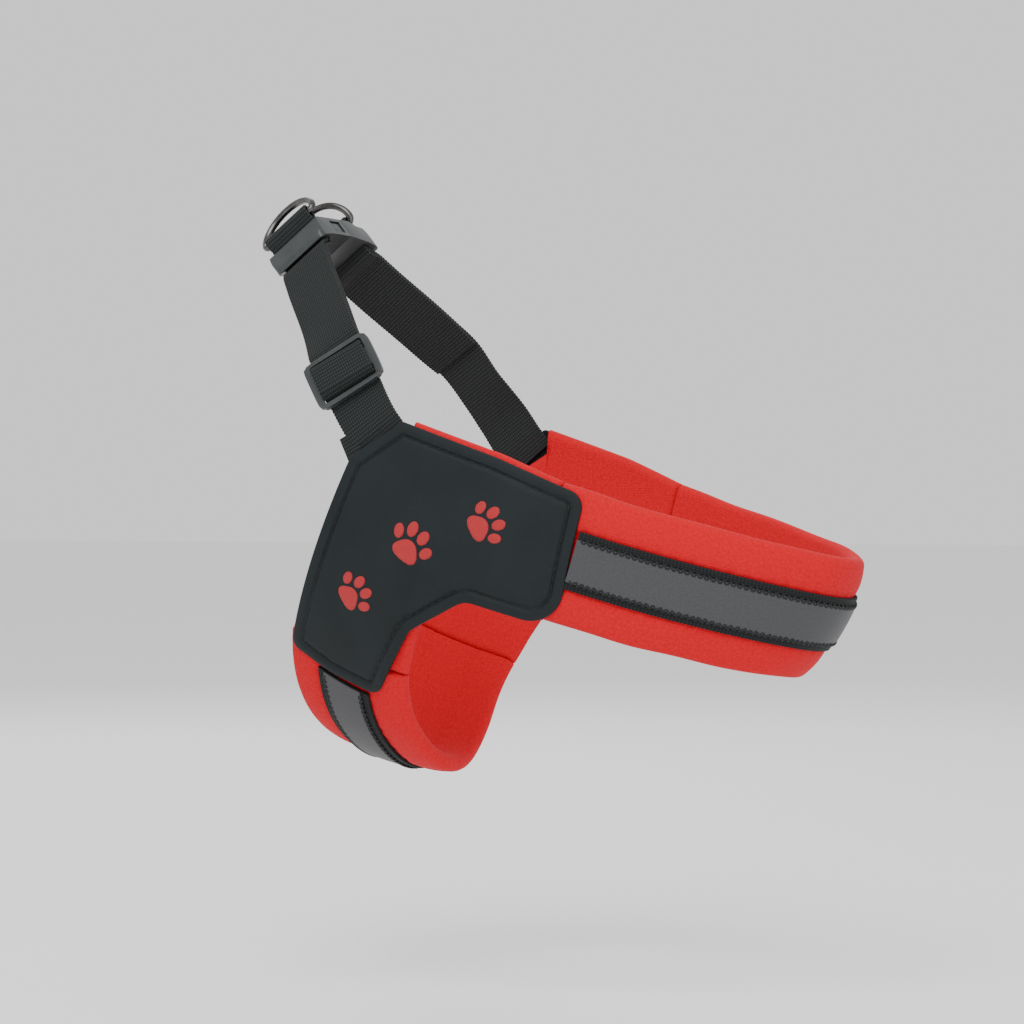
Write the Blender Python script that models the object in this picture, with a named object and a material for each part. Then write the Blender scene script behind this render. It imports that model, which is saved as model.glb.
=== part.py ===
"""Dog chest harness: padded chest and girth bands, side patches, back strap, buckle and rings.

Metres, +Z up. The harness faces -Y and its plane of symmetry is X = 0. The origin is under the
back strap at the withers. Every cloth piece is a flat cut wrapped over one smooth trunk form, an
ellipsoid, and lies at its own height above or below that form's surface.
"""

import math

import bmesh
import bpy
import numpy as np
from mathutils import Matrix

# Trunk form, measured over the outer face of the padding
HALF_WIDTH = 0.060
LONG_HALF = 0.135
SHORT_HALF = 0.098
FORM_TILT = math.radians(6.0)

# Each band leaves the middle of the side and runs round to the middle of the body. Its pitch,
# from the tail end (+Y) towards up (+Z), is middle + swing * a^2 + curl * a^3 degrees, where a
# is 1 on the side and 0 over the straight share in the middle.
# name: (middle, swing, curl, straight share)
ROUTES = {
    "strap": (51.8, 13.0, -23.4, 0.3),
    "chest": (199.1, 1.2, 7.7, 0.0),
    "girth": (292.1, 62.4, -47.3, 0.0),
}

# Cloth
BAND_WIDTH = 0.048
PAD_THICK = 0.005
PAD_ROUND = 0.0022
WEBBING_WIDTH = 0.020
WEBBING_THICK = 0.0012
TAPE_WIDTH = 0.0145
TAPE_THICK = 0.0004
PATCH_THICK = 0.0015
LAYER_GAP = 0.0004
SEAM_GAP = 0.0003
BAND_STATIONS = 38

# Where the bands are sewn to the side pads, and where the webbing strips meet the patch, as
# lengths along each band from the middle of the side. The strips' ends are cut at a slant.
CHEST_SEAM = 0.0465
GIRTH_SEAM = 0.0680
CHEST_STRIP_START = 0.0572
GIRTH_STRIP_START = 0.0785
GIRTH_STRIP_SLANT = 0.27

# Flat cut of the side patch: forward, up and corner radius in millimetres, from the middle of
# the side
PATCH_CORNERS = (
    # forward, up, corner radius
    (-27.0, 12.6, 1.5),
    (-7.6, 24.4, 1.5),
    (26.5, 12.3, 60.0),
    (57.0, -0.8, 6.0),
    (45.5, -45.1, 12.0),
    (13.9, -35.5, 8.0),
    (-8.1, -46.2, 8.0),
    (-26.3, -70.9, 5.0),
    (-44.0, -62.6, 20.0),
    (-58.7, -52.1, 4.0),
)
PATCH_HUB = (-6.0, -20.0)

# Side pad under the patch: the corners that aren't on its seams, in the same columns
PAD_TOP_CORNERS = (
    (-31.3, 0.3, 1.0),
    (-22.0, 6.0, 0.0),
    (-3.5, 16.6, 0.0),
    (-2.0, 24.6, 1.5),
    (28.0, 13.6, 60.0),
)
PAD_THROAT_CORNERS = (
    (13.9, -34.9, 8.0),
    (-4.2, -43.8, 6.0),
    (-9.2, -53.2, 20.0),
)
PAD_REAR_CORNERS = ((-51.9, -40.0, 12.0),)

# Slider, across and along the strap
SLIDER_STATION = 0.0533
SLIDER_SINK = 0.0028
SLIDER_WIDTH = 0.0255
SLIDER_SLOT_WIDTH = 0.0208
SLIDER_END_BAR = 0.0017
SLIDER_SLOT = 0.0043
SLIDER_MIDDLE_BAR = 0.0067
SLIDER_LOW = 0.0032
SLIDER_THICK = 0.0020
SLIDER_TWIST = math.radians(15.0)
SLIDER_TWIST_SPREAD = 0.016

# Strap heights over the form: the outer layer, and the return layer under it
OUTER_LAYER = 0.0023
RETURN_LAYER = 0.0008
STRAP_TUCK = 0.0183
STRAP_TUCK_DEPTH = -0.0012

# The back is narrow at the withers, so the strap hangs straight from the buckle down to this
# length, and the withers lie this far below the form's surface
HANGING_FROM = 0.0650
WITHERS_DROP = 0.0040

# Buckle, straight across the back, with its own frame: x along the strap, y to the rear and z out
# of the back. Its ends droop, the far one more than the near one.
BUCKLE_WIDTH = 0.0234
BUCKLE_LOW = 0.0010
BUCKLE_HIGH = 0.0087
BUCKLE_BARREL = 0.0003
BUCKLE_CORNER = 0.0030
BUCKLE_SLOT_START = 0.0121
BUCKLE_SLOT = 0.0038
BUCKLE_SLOT_WIDTH = 0.0207
BUCKLE_JOINT = 0.0010
BUCKLE_WALL = 0.0014
TONGUE_LENGTH = 0.0110
TONGUE_CLEARANCE = 0.0003

# Side view of an end, as x and z in millimetres, from the underside out to the end and back
NEAR_END = ((13.5, 1.0), (18.5, 0.4), (20.4, 0.0), (21.0, 0.7), (20.6, 2.2), (17.4, 8.1), (16.6, 8.7))
FAR_END = ((13.5, -0.4), (18.5, -1.8), (20.4, -2.2), (21.0, -1.5), (20.6, 0.0), (17.4, 5.9), (16.6, 6.5),
           (12.0, 6.9), (9.0, 8.7))
FAR_END_DROP = 0.0022

# Rings
RING_WIRE = 0.0013
RING_HALF_WIDTH = 0.0117
RING_DEPTH = 0.0124
RING_CORNER = 0.0022
RING_EYE_CLEARANCE = 0.00035
RING_STATION = 0.0140
NEAR_RING_HEIGHT = 0.0130
FAR_RING_HEIGHT = 0.0104
NEAR_RING_LEAN = math.radians(42.0)
FAR_RING_LEAN = math.radians(-6.0)

MM = 0.001


def make_material(name, colour, roughness, metallic=0.0):
    material = bpy.data.materials.new(name)
    material.use_nodes = True
    shader = material.node_tree.nodes["Principled BSDF"]
    shader.inputs["Base Color"].default_value = (*colour, 1.0)
    shader.inputs["Roughness"].default_value = roughness
    shader.inputs["Metallic"].default_value = metallic
    return material


# Trunk form


def form_matrix():
    turn = np.array([[math.cos(FORM_TILT), -math.sin(FORM_TILT)],
                     [math.sin(FORM_TILT), math.cos(FORM_TILT)]])
    plane = turn @ np.diag([LONG_HALF ** -2, SHORT_HALF ** -2]) @ turn.T
    matrix = np.zeros((3, 3))
    matrix[0, 0] = HALF_WIDTH ** -2
    matrix[1:, 1:] = plane
    return matrix


FORM = form_matrix()


def unit(vectors):
    return vectors / np.linalg.norm(vectors, axis=-1, keepdims=True)


def onto_form(points):
    level = np.sqrt(np.einsum("...i,ij,...j->...", points, FORM, points))
    return points / level[..., None]


def form_normal(points):
    return unit(points @ FORM)


def side_radius(pitch):
    """How far the form reaches from its centre in the plane X = 0, at a pitch in radians."""
    y, z = np.cos(pitch), np.sin(pitch)
    return (FORM[1, 1] * y * y + 2.0 * FORM[1, 2] * y * z + FORM[2, 2] * z * z) ** -0.5


WITHERS_PITCH = math.radians(ROUTES["strap"][0])
WITHERS_RADIUS = float(side_radius(WITHERS_PITCH))
UP_THE_STRAP = np.array([0.0, math.cos(WITHERS_PITCH), math.sin(WITHERS_PITCH)])
FORM_CENTRE = -(WITHERS_RADIUS - WITHERS_DROP) * UP_THE_STRAP


# Routes of the bands


def route_pitch(route, angle):
    middle, swing, curl, straight = ROUTES[route]
    aside = np.abs(1.0 - angle / (0.5 * math.pi))
    aside = np.maximum(0.0, aside - straight) / (1.0 - straight)
    return np.radians(middle + swing * aside ** 2 + curl * aside ** 3)


def route_centre(route, angle):
    """Centre line of a band: angle is 0 on the near side, pi on the far side."""
    angle = np.asarray(angle, float)
    pitch = route_pitch(route, angle)
    reach = side_radius(pitch) * np.sin(angle)
    return np.stack([-HALF_WIDTH * np.cos(angle), reach * np.cos(pitch), reach * np.sin(pitch)], -1)


def route_tangent(route, angle):
    step = 1e-4
    return unit(route_centre(route, angle + step) - route_centre(route, angle - step))


def route_lengths(route):
    angles = np.linspace(1e-3, 0.5 * math.pi, 600)
    steps = np.linalg.norm(np.diff(route_centre(route, angles), axis=0), axis=1)
    return angles, np.concatenate([[0.0], np.cumsum(steps)])


LENGTHS = {route: route_lengths(route) for route in ROUTES}


def angle_at(route, length):
    angles, lengths = LENGTHS[route]
    return np.interp(length, lengths, angles)


def band_point(route, angle, across, height):
    """A point of cloth that lies on the form, across the band's centre line."""
    centre = route_centre(route, angle)
    sideways = unit(np.cross(form_normal(centre), route_tangent(route, angle)))
    foot = onto_form(centre + np.asarray(across)[..., None] * sideways)
    return foot + np.asarray(height)[..., None] * form_normal(foot)


# Flat cut of the side, laid on the form by its distance from the middle of the side


def meridian(pitch):
    angles = np.linspace(0.0, 0.62 * math.pi, 240)
    speed = np.hypot(HALF_WIDTH * np.sin(angles), side_radius(pitch) * np.cos(angles))
    steps = 0.5 * (speed[1:] + speed[:-1]) * np.diff(angles)
    return angles, np.concatenate([[0.0], np.cumsum(steps)])


def from_flat(forward, up, height):
    pitch = math.atan2(up, -forward)
    angles, lengths = meridian(pitch)
    angle = np.interp(math.hypot(forward, up), lengths, angles)
    reach = side_radius(pitch) * math.sin(angle)
    foot = np.array([-HALF_WIDTH * math.cos(angle), reach * math.cos(pitch), reach * math.sin(pitch)])
    return foot + height * form_normal(foot)


def to_flat(point):
    pitch = math.atan2(point[2], point[1])
    angles, lengths = meridian(pitch)
    length = np.interp(math.acos(-point[0] / HALF_WIDTH), angles, lengths)
    return -length * math.cos(pitch), length * math.sin(pitch)


# Mesh helpers


def add_object(name, points, faces, material, sharp=math.radians(35.0)):
    mesh = bpy.data.meshes.new(name)
    mesh.from_pydata([tuple(map(float, p)) for p in points], [], faces)
    shape = bmesh.new()
    shape.from_mesh(mesh)
    bmesh.ops.recalc_face_normals(shape, faces=shape.faces)
    shape.to_mesh(mesh)
    shape.free()
    mesh.shade_smooth()
    mesh.set_sharp_from_angle(angle=sharp)
    mesh.materials.append(material)
    piece = bpy.data.objects.new(name, mesh)
    bpy.context.scene.collection.objects.link(piece)
    return piece


def loft_faces(ring_count, ring_size):
    """Quads between rings, and strips across the two end rings, which fold onto themselves."""
    faces = []
    for ring in range(ring_count - 1):
        for i in range(ring_size):
            j = (i + 1) % ring_size
            a, b = ring * ring_size, (ring + 1) * ring_size
            faces.append((a + i, a + j, b + j, b + i))
    for start in (0, (ring_count - 1) * ring_size):
        for i in range(ring_size // 2 - 1):
            j = ring_size - 1 - i
            faces.append((start + i, start + i + 1, start + j - 1, start + j))
    return faces


def mirror_points(points):
    return np.asarray(points) * np.array([-1.0, 1.0, 1.0])


# Bands and strips


def padded_profile(width, thick, edge):
    """Half of a padded band's section, from one edge along the top to the other."""
    half, low = 0.5 * width, -thick
    middle = 0.5 * low
    top = [(-half, middle), (-half + 0.3 * edge, -0.3 * edge), (-half + edge, 0.0),
           (-0.5 * WEBBING_WIDTH, 0.0), (0.0, 0.0), (0.5 * WEBBING_WIDTH, 0.0),
           (half - edge, 0.0), (half - 0.3 * edge, -0.3 * edge)]
    bottom = [(half, middle), (half - 0.3 * edge, low + 0.3 * edge), (half - edge, low),
              (0.5 * WEBBING_WIDTH, low), (0.0, low), (-0.5 * WEBBING_WIDTH, low),
              (-half + edge, low), (-half + 0.3 * edge, low + 0.3 * edge)]
    return top + bottom


def flat_profile(width, low, high):
    half = 0.5 * width
    return [(-half, high), (0.0, high), (half, high), (half, low), (0.0, low), (-half, low)]


def round_band(name, route, start, profile, material, slant=0.0):
    """A band from the near side to the far side. start is the length along the route where it
    begins, and slant moves that start along the route across the band's width."""
    across = np.array([point[0] for point in profile])
    height = np.array([point[1] for point in profile])
    first = angle_at(route, start + slant * across)
    rings = []
    for share in np.linspace(0.0, 1.0, BAND_STATIONS + 1):
        angle = first + share * (math.pi - 2.0 * first)
        rings.append(FORM_CENTRE + band_point(route, angle, across, height))
    points = np.concatenate(rings)
    return add_object(name, points, loft_faces(len(rings), len(profile)), material)


# Side plates: the patch and the pad under it


def rounded_outline(corners):
    """Straight edges with an arc at each corner. Corners are forward, up, radius."""
    points = []
    count = len(corners)
    for i, (x, y, radius) in enumerate(corners):
        here = np.array([x, y])
        before = unit(np.array(corners[i - 1][:2]) - here)
        after = unit(np.array(corners[(i + 1) % count][:2]) - here)
        half = 0.5 * math.acos(float(np.clip(before @ after, -1.0, 1.0)))
        if radius < 0.2 or half > math.radians(89.0):
            points.append(here)
            continue
        centre = here + unit(before + after) * radius / math.sin(half)
        start = here + before * radius / math.tan(half) - centre
        end = here + after * radius / math.tan(half) - centre
        turn = math.atan2(start[0] * end[1] - start[1] * end[0], start @ end)
        steps = max(2, math.ceil(abs(turn) / math.radians(30.0)))
        for k in range(steps + 1):
            c, s = math.cos(turn * k / steps), math.sin(turn * k / steps)
            points.append(centre + np.array([c * start[0] - s * start[1], s * start[0] + c * start[1]]))
    return np.array(points)


def seam_points(route, length, signs):
    """The end of a band on the flat cut, in millimetres, from edge to edge."""
    half = 0.5 * BAND_WIDTH
    corners = []
    for sign in signs:
        point = band_point(route, angle_at(route, length), np.array([sign * half]), np.array([0.0]))
        forward, up = to_flat(point[0])
        corners.append((forward / MM, up / MM, 0.0))
    return corners


def pad_outline():
    chest = seam_points("chest", CHEST_SEAM - SEAM_GAP, (1.0, 0.5, 0.0, -0.5, -1.0))
    girth = seam_points("girth", GIRTH_SEAM - SEAM_GAP, (1.0, 0.5, 0.0, -0.5, -1.0))
    corners = PAD_TOP_CORNERS + tuple(chest) + PAD_THROAT_CORNERS + tuple(girth) + PAD_REAR_CORNERS
    return rounded_outline(corners)


def ray_reach(outline, angles):
    """Distance from the hub to the outline along each ray."""
    start = outline - np.array(PATCH_HUB)
    end = np.roll(start, -1, axis=0)
    reach = []
    for angle in angles:
        ray = np.array([math.cos(angle), math.sin(angle)])
        a = start[:, 0] * ray[1] - start[:, 1] * ray[0]
        b = end[:, 0] * ray[1] - end[:, 1] * ray[0]
        hits = []
        for i in np.nonzero((a > 0) != (b > 0))[0]:
            share = a[i] / (a[i] - b[i])
            distance = (start[i] + share * (end[i] - start[i])) @ ray
            if distance > 0:
                hits.append(distance)
        reach.append(min(hits))
    return np.array(reach)


def plate_rays(outlines):
    """Ray angles through every outline point, none too close, with the wide gaps filled."""
    corner_angles = []
    for outline in outlines:
        offset = outline - np.array(PATCH_HUB)
        corner_angles += list(np.arctan2(offset[:, 1], offset[:, 0]))
    corner_angles.sort()
    kept = [corner_angles[0]]
    for angle in corner_angles[1:]:
        if angle - kept[-1] > math.radians(2.2):
            kept.append(angle)
    rays = []
    for i, angle in enumerate(kept):
        following = kept[i + 1] if i + 1 < len(kept) else kept[0] + 2.0 * math.pi
        parts = max(1, math.ceil((following - angle) / math.radians(9.0)))
        rays += [angle + (following - angle) * k / parts for k in range(parts)]
    return np.array(rays)


def side_plate(name, rays, reach, shared, low, high, edge, material, mirrored):
    """A plate on the side: rings of the flat cut round the hub, under and over."""
    rounding = edge / MM
    inner = [share * shared for share in (0.35, 0.65, 0.88)]
    rings = [(radii, low) for radii in inner]
    rings += [(reach - rounding, low), (reach, low + edge), (reach, high - edge), (reach - rounding, high)]
    rings += [(radii, high) for radii in reversed(inner)]
    points = []
    for radii, height in rings:
        for angle, radius in zip(rays, radii):
            forward = PATCH_HUB[0] + radius * math.cos(angle)
            up = PATCH_HUB[1] + radius * math.sin(angle)
            points.append(FORM_CENTRE + from_flat(forward * MM, up * MM, height))
    for height in (low, high):
        points.append(FORM_CENTRE + from_flat(PATCH_HUB[0] * MM, PATCH_HUB[1] * MM, height))
    count = len(rays)
    faces = []
    for ring in range(len(rings) - 1):
        for i in range(count):
            j = (i + 1) % count
            faces.append((ring * count + i, ring * count + j,
                          (ring + 1) * count + j, (ring + 1) * count + i))
    last = (len(rings) - 1) * count
    for i in range(count):
        j = (i + 1) % count
        faces.append((j, i, len(points) - 2))
        faces.append((last + i, last + j, len(points) - 1))
    if mirrored:
        points = mirror_points(points)
    return add_object(name, points, faces, material)


# Back strap, drawn in the plane of its loop: x across the body and z out along the withers


def loop_foot(angle):
    return np.array([-HALF_WIDTH * math.cos(angle), WITHERS_RADIUS * math.sin(angle)])


def loop_normal(angle):
    return unit(np.array([-math.cos(angle) / HALF_WIDTH, math.sin(angle) / WITHERS_RADIUS]))


def on_loop(length, height):
    angle = float(angle_at("strap", length))
    return loop_foot(angle) + height * loop_normal(angle)


def above_withers(x, z):
    return np.array([x, WITHERS_RADIUS - WITHERS_DROP + z])


def nearest_angle(point):
    """The angle at which the loop passes closest to a point of its plane."""
    angle = math.atan2(point[1] / WITHERS_RADIUS, -point[0] / HALF_WIDTH)
    for _ in range(12):
        foot, normal = loop_foot(angle), loop_normal(angle)
        along = np.array([normal[1], -normal[0]])
        speed = math.hypot(HALF_WIDTH * math.sin(angle), WITHERS_RADIUS * math.cos(angle))
        angle += float((point - foot) @ along) / (speed * 1.6)
    return angle


def strap_point(point, across):
    """Lift a point of the loop's plane into space, with the strap's twist at the slider."""
    angle = nearest_angle(point)
    height = float((point - loop_foot(angle)) @ loop_normal(angle))
    pitch = float(route_pitch("strap", angle))
    outward = loop_normal(angle)
    normal = np.array([outward[0], outward[1] * math.cos(pitch), outward[1] * math.sin(pitch)])
    centre = route_centre("strap", angle)
    tangent = route_tangent("strap", angle)
    normal = unit(normal - (normal @ tangent) * tangent)
    sideways = np.cross(normal, tangent)
    length = float(np.interp(angle, *LENGTHS["strap"]))
    twist = SLIDER_TWIST * math.exp(-((length - SLIDER_STATION) / SLIDER_TWIST_SPREAD) ** 2)
    turned_side = math.cos(twist) * sideways + math.sin(twist) * normal
    turned_normal = math.cos(twist) * normal - math.sin(twist) * sideways
    return FORM_CENTRE + centre + height * turned_normal + across * turned_side


def smooth_path(points, spacing):
    """A Catmull-Rom curve through the points, with about the given spacing."""
    points = [np.asarray(p, float) for p in points]
    padded = [2 * points[0] - points[1]] + points + [2 * points[-1] - points[-2]]
    path = []
    for a, b, c, d in zip(padded, padded[1:], padded[2:], padded[3:]):
        parts = max(1, round(float(np.linalg.norm(c - b)) / spacing))
        for k in range(parts):
            s = k / parts
            path.append(0.5 * (2 * b + (c - a) * s + (2 * a - 5 * b + 4 * c - d) * s ** 2
                               + (3 * b - a - 3 * c + d) * s ** 3))
    path.append(points[-1])
    return np.array(path)


def ribbon(name, path, width, thick, material, mirrored):
    """A webbing strip of the given thickness along a path in the loop's plane."""
    steps = np.gradient(path, axis=0)
    normals = unit(np.stack([-steps[:, 1], steps[:, 0]], -1))
    points = []
    for sign in (0.5, -0.5):
        for across in (0.5 * width, -0.5 * width):
            points += [strap_point(p + sign * thick * n, across) for p, n in zip(path, normals)]
    count = len(path)
    faces = []
    for i in range(count - 1):
        for a, b in ((0, 1), (1, 3), (3, 2), (2, 0)):
            faces.append((a * count + i, a * count + i + 1, b * count + i + 1, b * count + i))
    for i in (0, count - 1):
        faces.append((i, count + i, 3 * count + i, 2 * count + i))
    if mirrored:
        points = mirror_points(points)
    return add_object(name, points, faces, material)


def ring_loop_points(ring_height, drop):
    """The webbing from under the buckle's end bar, up its slot, round the ring and back."""
    eye = RING_WIRE + RING_EYE_CLEARANCE + 0.5 * WEBBING_THICK
    outer = [(-23.4, -5.0), (-21.6, -2.7), (-19.2, -1.1), (-16.9, -0.5), (-15.4, 0.3), (-14.95, 2.2),
             (-14.95, 5.5), (-15.0, 8.2)]
    inner = [(-13.1, 7.8), (-13.1, 5.5), (-13.15, 2.2), (-13.7, -0.9), (-15.6, -2.1), (-18.6, -2.6),
             (-20.6, -3.9), (-22.2, -6.0)]
    points = [above_withers(x * MM, z * MM - drop) for x, z in outer]
    for degrees in range(212, -33, -20):
        turn = math.radians(degrees)
        points.append(above_withers(-RING_STATION + eye * math.cos(turn),
                                    ring_height + eye * math.sin(turn)))
    points += [above_withers(x * MM, z * MM - drop) for x, z in inner]
    return points


def hanging(top, low):
    """Points of the straight stretch between the buckle and the form, without its ends."""
    return [top + share * (low - top) for share in (0.25, 0.5, 0.75)]


def at_slider(length, height):
    """A point beside the slider, where the taut strap lies below the form's surface."""
    return on_loop(SLIDER_STATION + length, height - SLIDER_SINK)


def slider_crossing():
    """The outer layer through the slider: under its end bars and over its middle bar."""
    rise = [(-10.6, 2.2), (-8.4, 2.15), (-6.95, 2.6), (-6.35, 3.8), (-6.0, 5.3), (-5.2, 6.85), (-3.7, 7.6)]
    fall = [(-x, z) for x, z in reversed(rise)]
    return [at_slider(x * MM, z * MM) for x, z in rise + fall]


def slider_wrap():
    """The return layer's end, which turns round the slider's middle bar."""
    turn = [(9.6, 0.8), (5.0, 0.8), (-1.0, 0.8), (-3.4, 1.2), (-4.25, 2.5), (-4.22, 5.2), (-3.7, 5.9),
            (-2.7, 6.1), (2.7, 6.1), (3.7, 5.9), (4.22, 5.2), (4.25, 3.4), (3.7, 2.5), (2.7, 2.3),
            (0.2, 2.3)]
    return [at_slider(x * MM, z * MM) for x, z in turn]


def strap_start():
    return [on_loop(STRAP_TUCK, STRAP_TUCK_DEPTH), on_loop(0.0260, -0.0011), on_loop(0.0300, -0.0002)]


def upper_strap(outer_low, return_low, ring_height, drop):
    """Up to the buckle, round the ring and back down to the return layer's end."""
    loop = ring_loop_points(ring_height, drop)
    return [outer_low] + hanging(outer_low, loop[0]) + loop + hanging(loop[-1], return_low) + [return_low]


def near_strap_path():
    points = strap_start() + [on_loop(0.0365, -0.0001)] + slider_crossing()
    points += upper_strap(at_slider(0.0138, OUTER_LAYER), at_slider(0.0134, RETURN_LAYER),
                          NEAR_RING_HEIGHT, 0.0)
    return smooth_path(points + slider_wrap(), 0.0026)


def far_strap_path():
    points = strap_start() + [on_loop(0.0360, RETURN_LAYER)]
    points += [on_loop(length, RETURN_LAYER) for length in (0.0440, 0.0520)]
    outer_low = on_loop(HANGING_FROM, OUTER_LAYER)
    points += upper_strap(outer_low, on_loop(HANGING_FROM, RETURN_LAYER), FAR_RING_HEIGHT, FAR_END_DROP)
    return smooth_path(points, 0.0026)


def slider(material):
    """A curved plate with two slots, which leave two end bars, a middle bar and two rails."""
    half = 0.5 * SLIDER_MIDDLE_BAR + SLIDER_SLOT
    lengths = [-half - SLIDER_END_BAR, -half, -half + SLIDER_SLOT, half - SLIDER_SLOT, half,
               half + SLIDER_END_BAR]
    acrosses = [-0.5 * SLIDER_WIDTH, -0.5 * SLIDER_SLOT_WIDTH, 0.5 * SLIDER_SLOT_WIDTH,
                0.5 * SLIDER_WIDTH]
    slots = {(1, 1), (3, 1)}
    points = []
    for height in (SLIDER_LOW, SLIDER_LOW + SLIDER_THICK):
        for length in lengths:
            points += [strap_point(at_slider(length, height), across) for across in acrosses]
    columns = len(acrosses)
    layer = len(lengths) * columns

    def corner(i, j, top):
        return top * layer + i * columns + j

    solid = {(i, j) for i in range(len(lengths) - 1) for j in range(columns - 1)} - slots
    faces = []
    for i, j in sorted(solid):
        cell = [(i, j), (i + 1, j), (i + 1, j + 1), (i, j + 1)]
        faces.append(tuple(corner(a, b, 1) for a, b in cell))
        faces.append(tuple(corner(a, b, 0) for a, b in reversed(cell)))
        neighbours = [(i, j - 1), (i + 1, j), (i, j + 1), (i - 1, j)]
        for k, neighbour in enumerate(neighbours):
            if neighbour in solid:
                continue
            (a, b), (c, d) = cell[k], cell[(k + 1) % 4]
            faces.append((corner(a, b, 0), corner(c, d, 0), corner(c, d, 1), corner(a, b, 1)))
    piece = add_object("slider", points, faces, material)
    bevel = piece.modifiers.new("rounded edges", "BEVEL")
    bevel.width = 0.00045
    bevel.segments = 2
    bevel.limit_method = "ANGLE"
    return piece


# Buckle


def buckle_frame():
    return Matrix.Rotation(WITHERS_PITCH - 0.5 * math.pi, 4, "X")


def prism(name, corners, material):
    """A straight block between two equal outlines, given as a list of points each."""
    first, second = corners
    count = len(first)
    faces = [tuple(reversed(range(count))), tuple(range(count, 2 * count))]
    for i in range(count):
        j = (i + 1) % count
        faces.append((i, j, count + j, count + i))
    return add_object(name, first + second, faces, material)


def plan_prism(name, outline, low, high, material):
    return prism(name, [[(x, y, z) for x, y in outline] for z in (low, high)], material)


def box(name, x_range, half, low, high, material):
    near, far = sorted(x_range)
    outline = [(near, -half), (far, -half), (far, half), (near, half)]
    return plan_prism(name, outline, low, high, material)


def apply_boolean(target, tool, operation):
    cut = target.modifiers.new("form", "BOOLEAN")
    cut.operation = operation
    cut.object = tool
    graph = bpy.context.evaluated_depsgraph_get()
    shaped = bpy.data.meshes.new_from_object(target.evaluated_get(graph))
    target.modifiers.remove(cut)
    old = target.data
    target.data = shaped
    bpy.data.meshes.remove(old)
    bpy.data.objects.remove(tool)


def buckle_body(name, sign, joint, side_view, material):
    """One half's block: its plan and its side view crossed, with the webbing slot cut."""
    half = 0.5 * BUCKLE_WIDTH
    end = max(x for x, z in side_view) * MM
    corner, soft = BUCKLE_CORNER, 0.3 * BUCKLE_CORNER
    front = [(sign * joint, half + BUCKLE_BARREL), (0.6 * BUCKLE_SLOT_START, half + BUCKLE_BARREL),
             (end - corner, half), (end - soft, half - soft), (end, half - corner)]
    outline = [(sign * x, y) for x, y in front] + [(sign * x, -y) for x, y in reversed(front)]
    body = plan_prism(name, outline, BUCKLE_LOW - 0.004, BUCKLE_HIGH + 0.001, material)
    view = [(sign * joint, BUCKLE_LOW)] + [(x * MM, z * MM) for x, z in side_view]
    view.append((sign * joint, BUCKLE_HIGH))
    sides = [[(sign * x, y, z) for x, z in view] for y in (-half - 0.002, half + 0.002)]
    apply_boolean(body, prism("side view", sides, material), "INTERSECT")
    slot = (sign * BUCKLE_SLOT_START, sign * (BUCKLE_SLOT_START + BUCKLE_SLOT))
    apply_boolean(body, box("slot", slot, 0.5 * BUCKLE_SLOT_WIDTH, BUCKLE_LOW - 0.006,
                            BUCKLE_HIGH + 0.003, material), "DIFFERENCE")
    return body


def finish_buckle(body):
    """Round the edges and place a half of the buckle on the back."""
    bevel = body.modifiers.new("rounded edges", "BEVEL")
    bevel.width = 0.0005
    bevel.segments = 1
    bevel.limit_method = "ANGLE"
    bevel.angle_limit = math.radians(50.0)
    body.matrix_world = buckle_frame()


def buckle(material):
    """The socket on the near side takes the plug's tongue, which comes in from the far side."""
    inner_low = BUCKLE_LOW + BUCKLE_WALL
    inner_high = BUCKLE_HIGH - BUCKLE_WALL
    inner_half = 0.5 * BUCKLE_WIDTH - 2.0 * BUCKLE_WALL
    tip = BUCKLE_JOINT - TONGUE_LENGTH

    socket = buckle_body("buckle_socket", -1.0, BUCKLE_JOINT - 0.5 * TONGUE_CLEARANCE, NEAR_END, material)
    cavity = box("cavity", (tip - TONGUE_CLEARANCE, BUCKLE_JOINT + 0.002), inner_half, inner_low,
                 inner_high, material)
    apply_boolean(socket, cavity, "DIFFERENCE")

    plug = buckle_body("buckle_plug", 1.0, BUCKLE_JOINT + 0.5 * TONGUE_CLEARANCE, FAR_END, material)
    tongue = box("tongue", (tip, BUCKLE_JOINT + 0.002), inner_half - TONGUE_CLEARANCE,
                 inner_low + TONGUE_CLEARANCE, inner_high - TONGUE_CLEARANCE, material)
    apply_boolean(plug, tongue, "UNION")
    for half in (socket, plug):
        finish_buckle(half)


# Rings


def ring_centre_line():
    """A D: a straight bar at z = 0, two rounded corners and half an ellipse."""
    corner_centre = RING_HALF_WIDTH - RING_CORNER
    path = [(y, 0.0) for y in np.linspace(-corner_centre, corner_centre, 7)]
    for degrees in (-60, -30, 0):
        turn = math.radians(degrees)
        path.append((corner_centre + RING_CORNER * math.cos(turn), RING_CORNER + RING_CORNER * math.sin(turn)))
    for degrees in range(10, 171, 10):
        turn = math.radians(degrees)
        path.append((RING_HALF_WIDTH * math.cos(turn),
                     RING_CORNER + (RING_DEPTH - RING_CORNER) * math.sin(turn)))
    for degrees in (180, 210, 240):
        turn = math.radians(degrees)
        path.append((-corner_centre + RING_CORNER * math.cos(turn), RING_CORNER + RING_CORNER * math.sin(turn)))
    return np.array(path)


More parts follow.
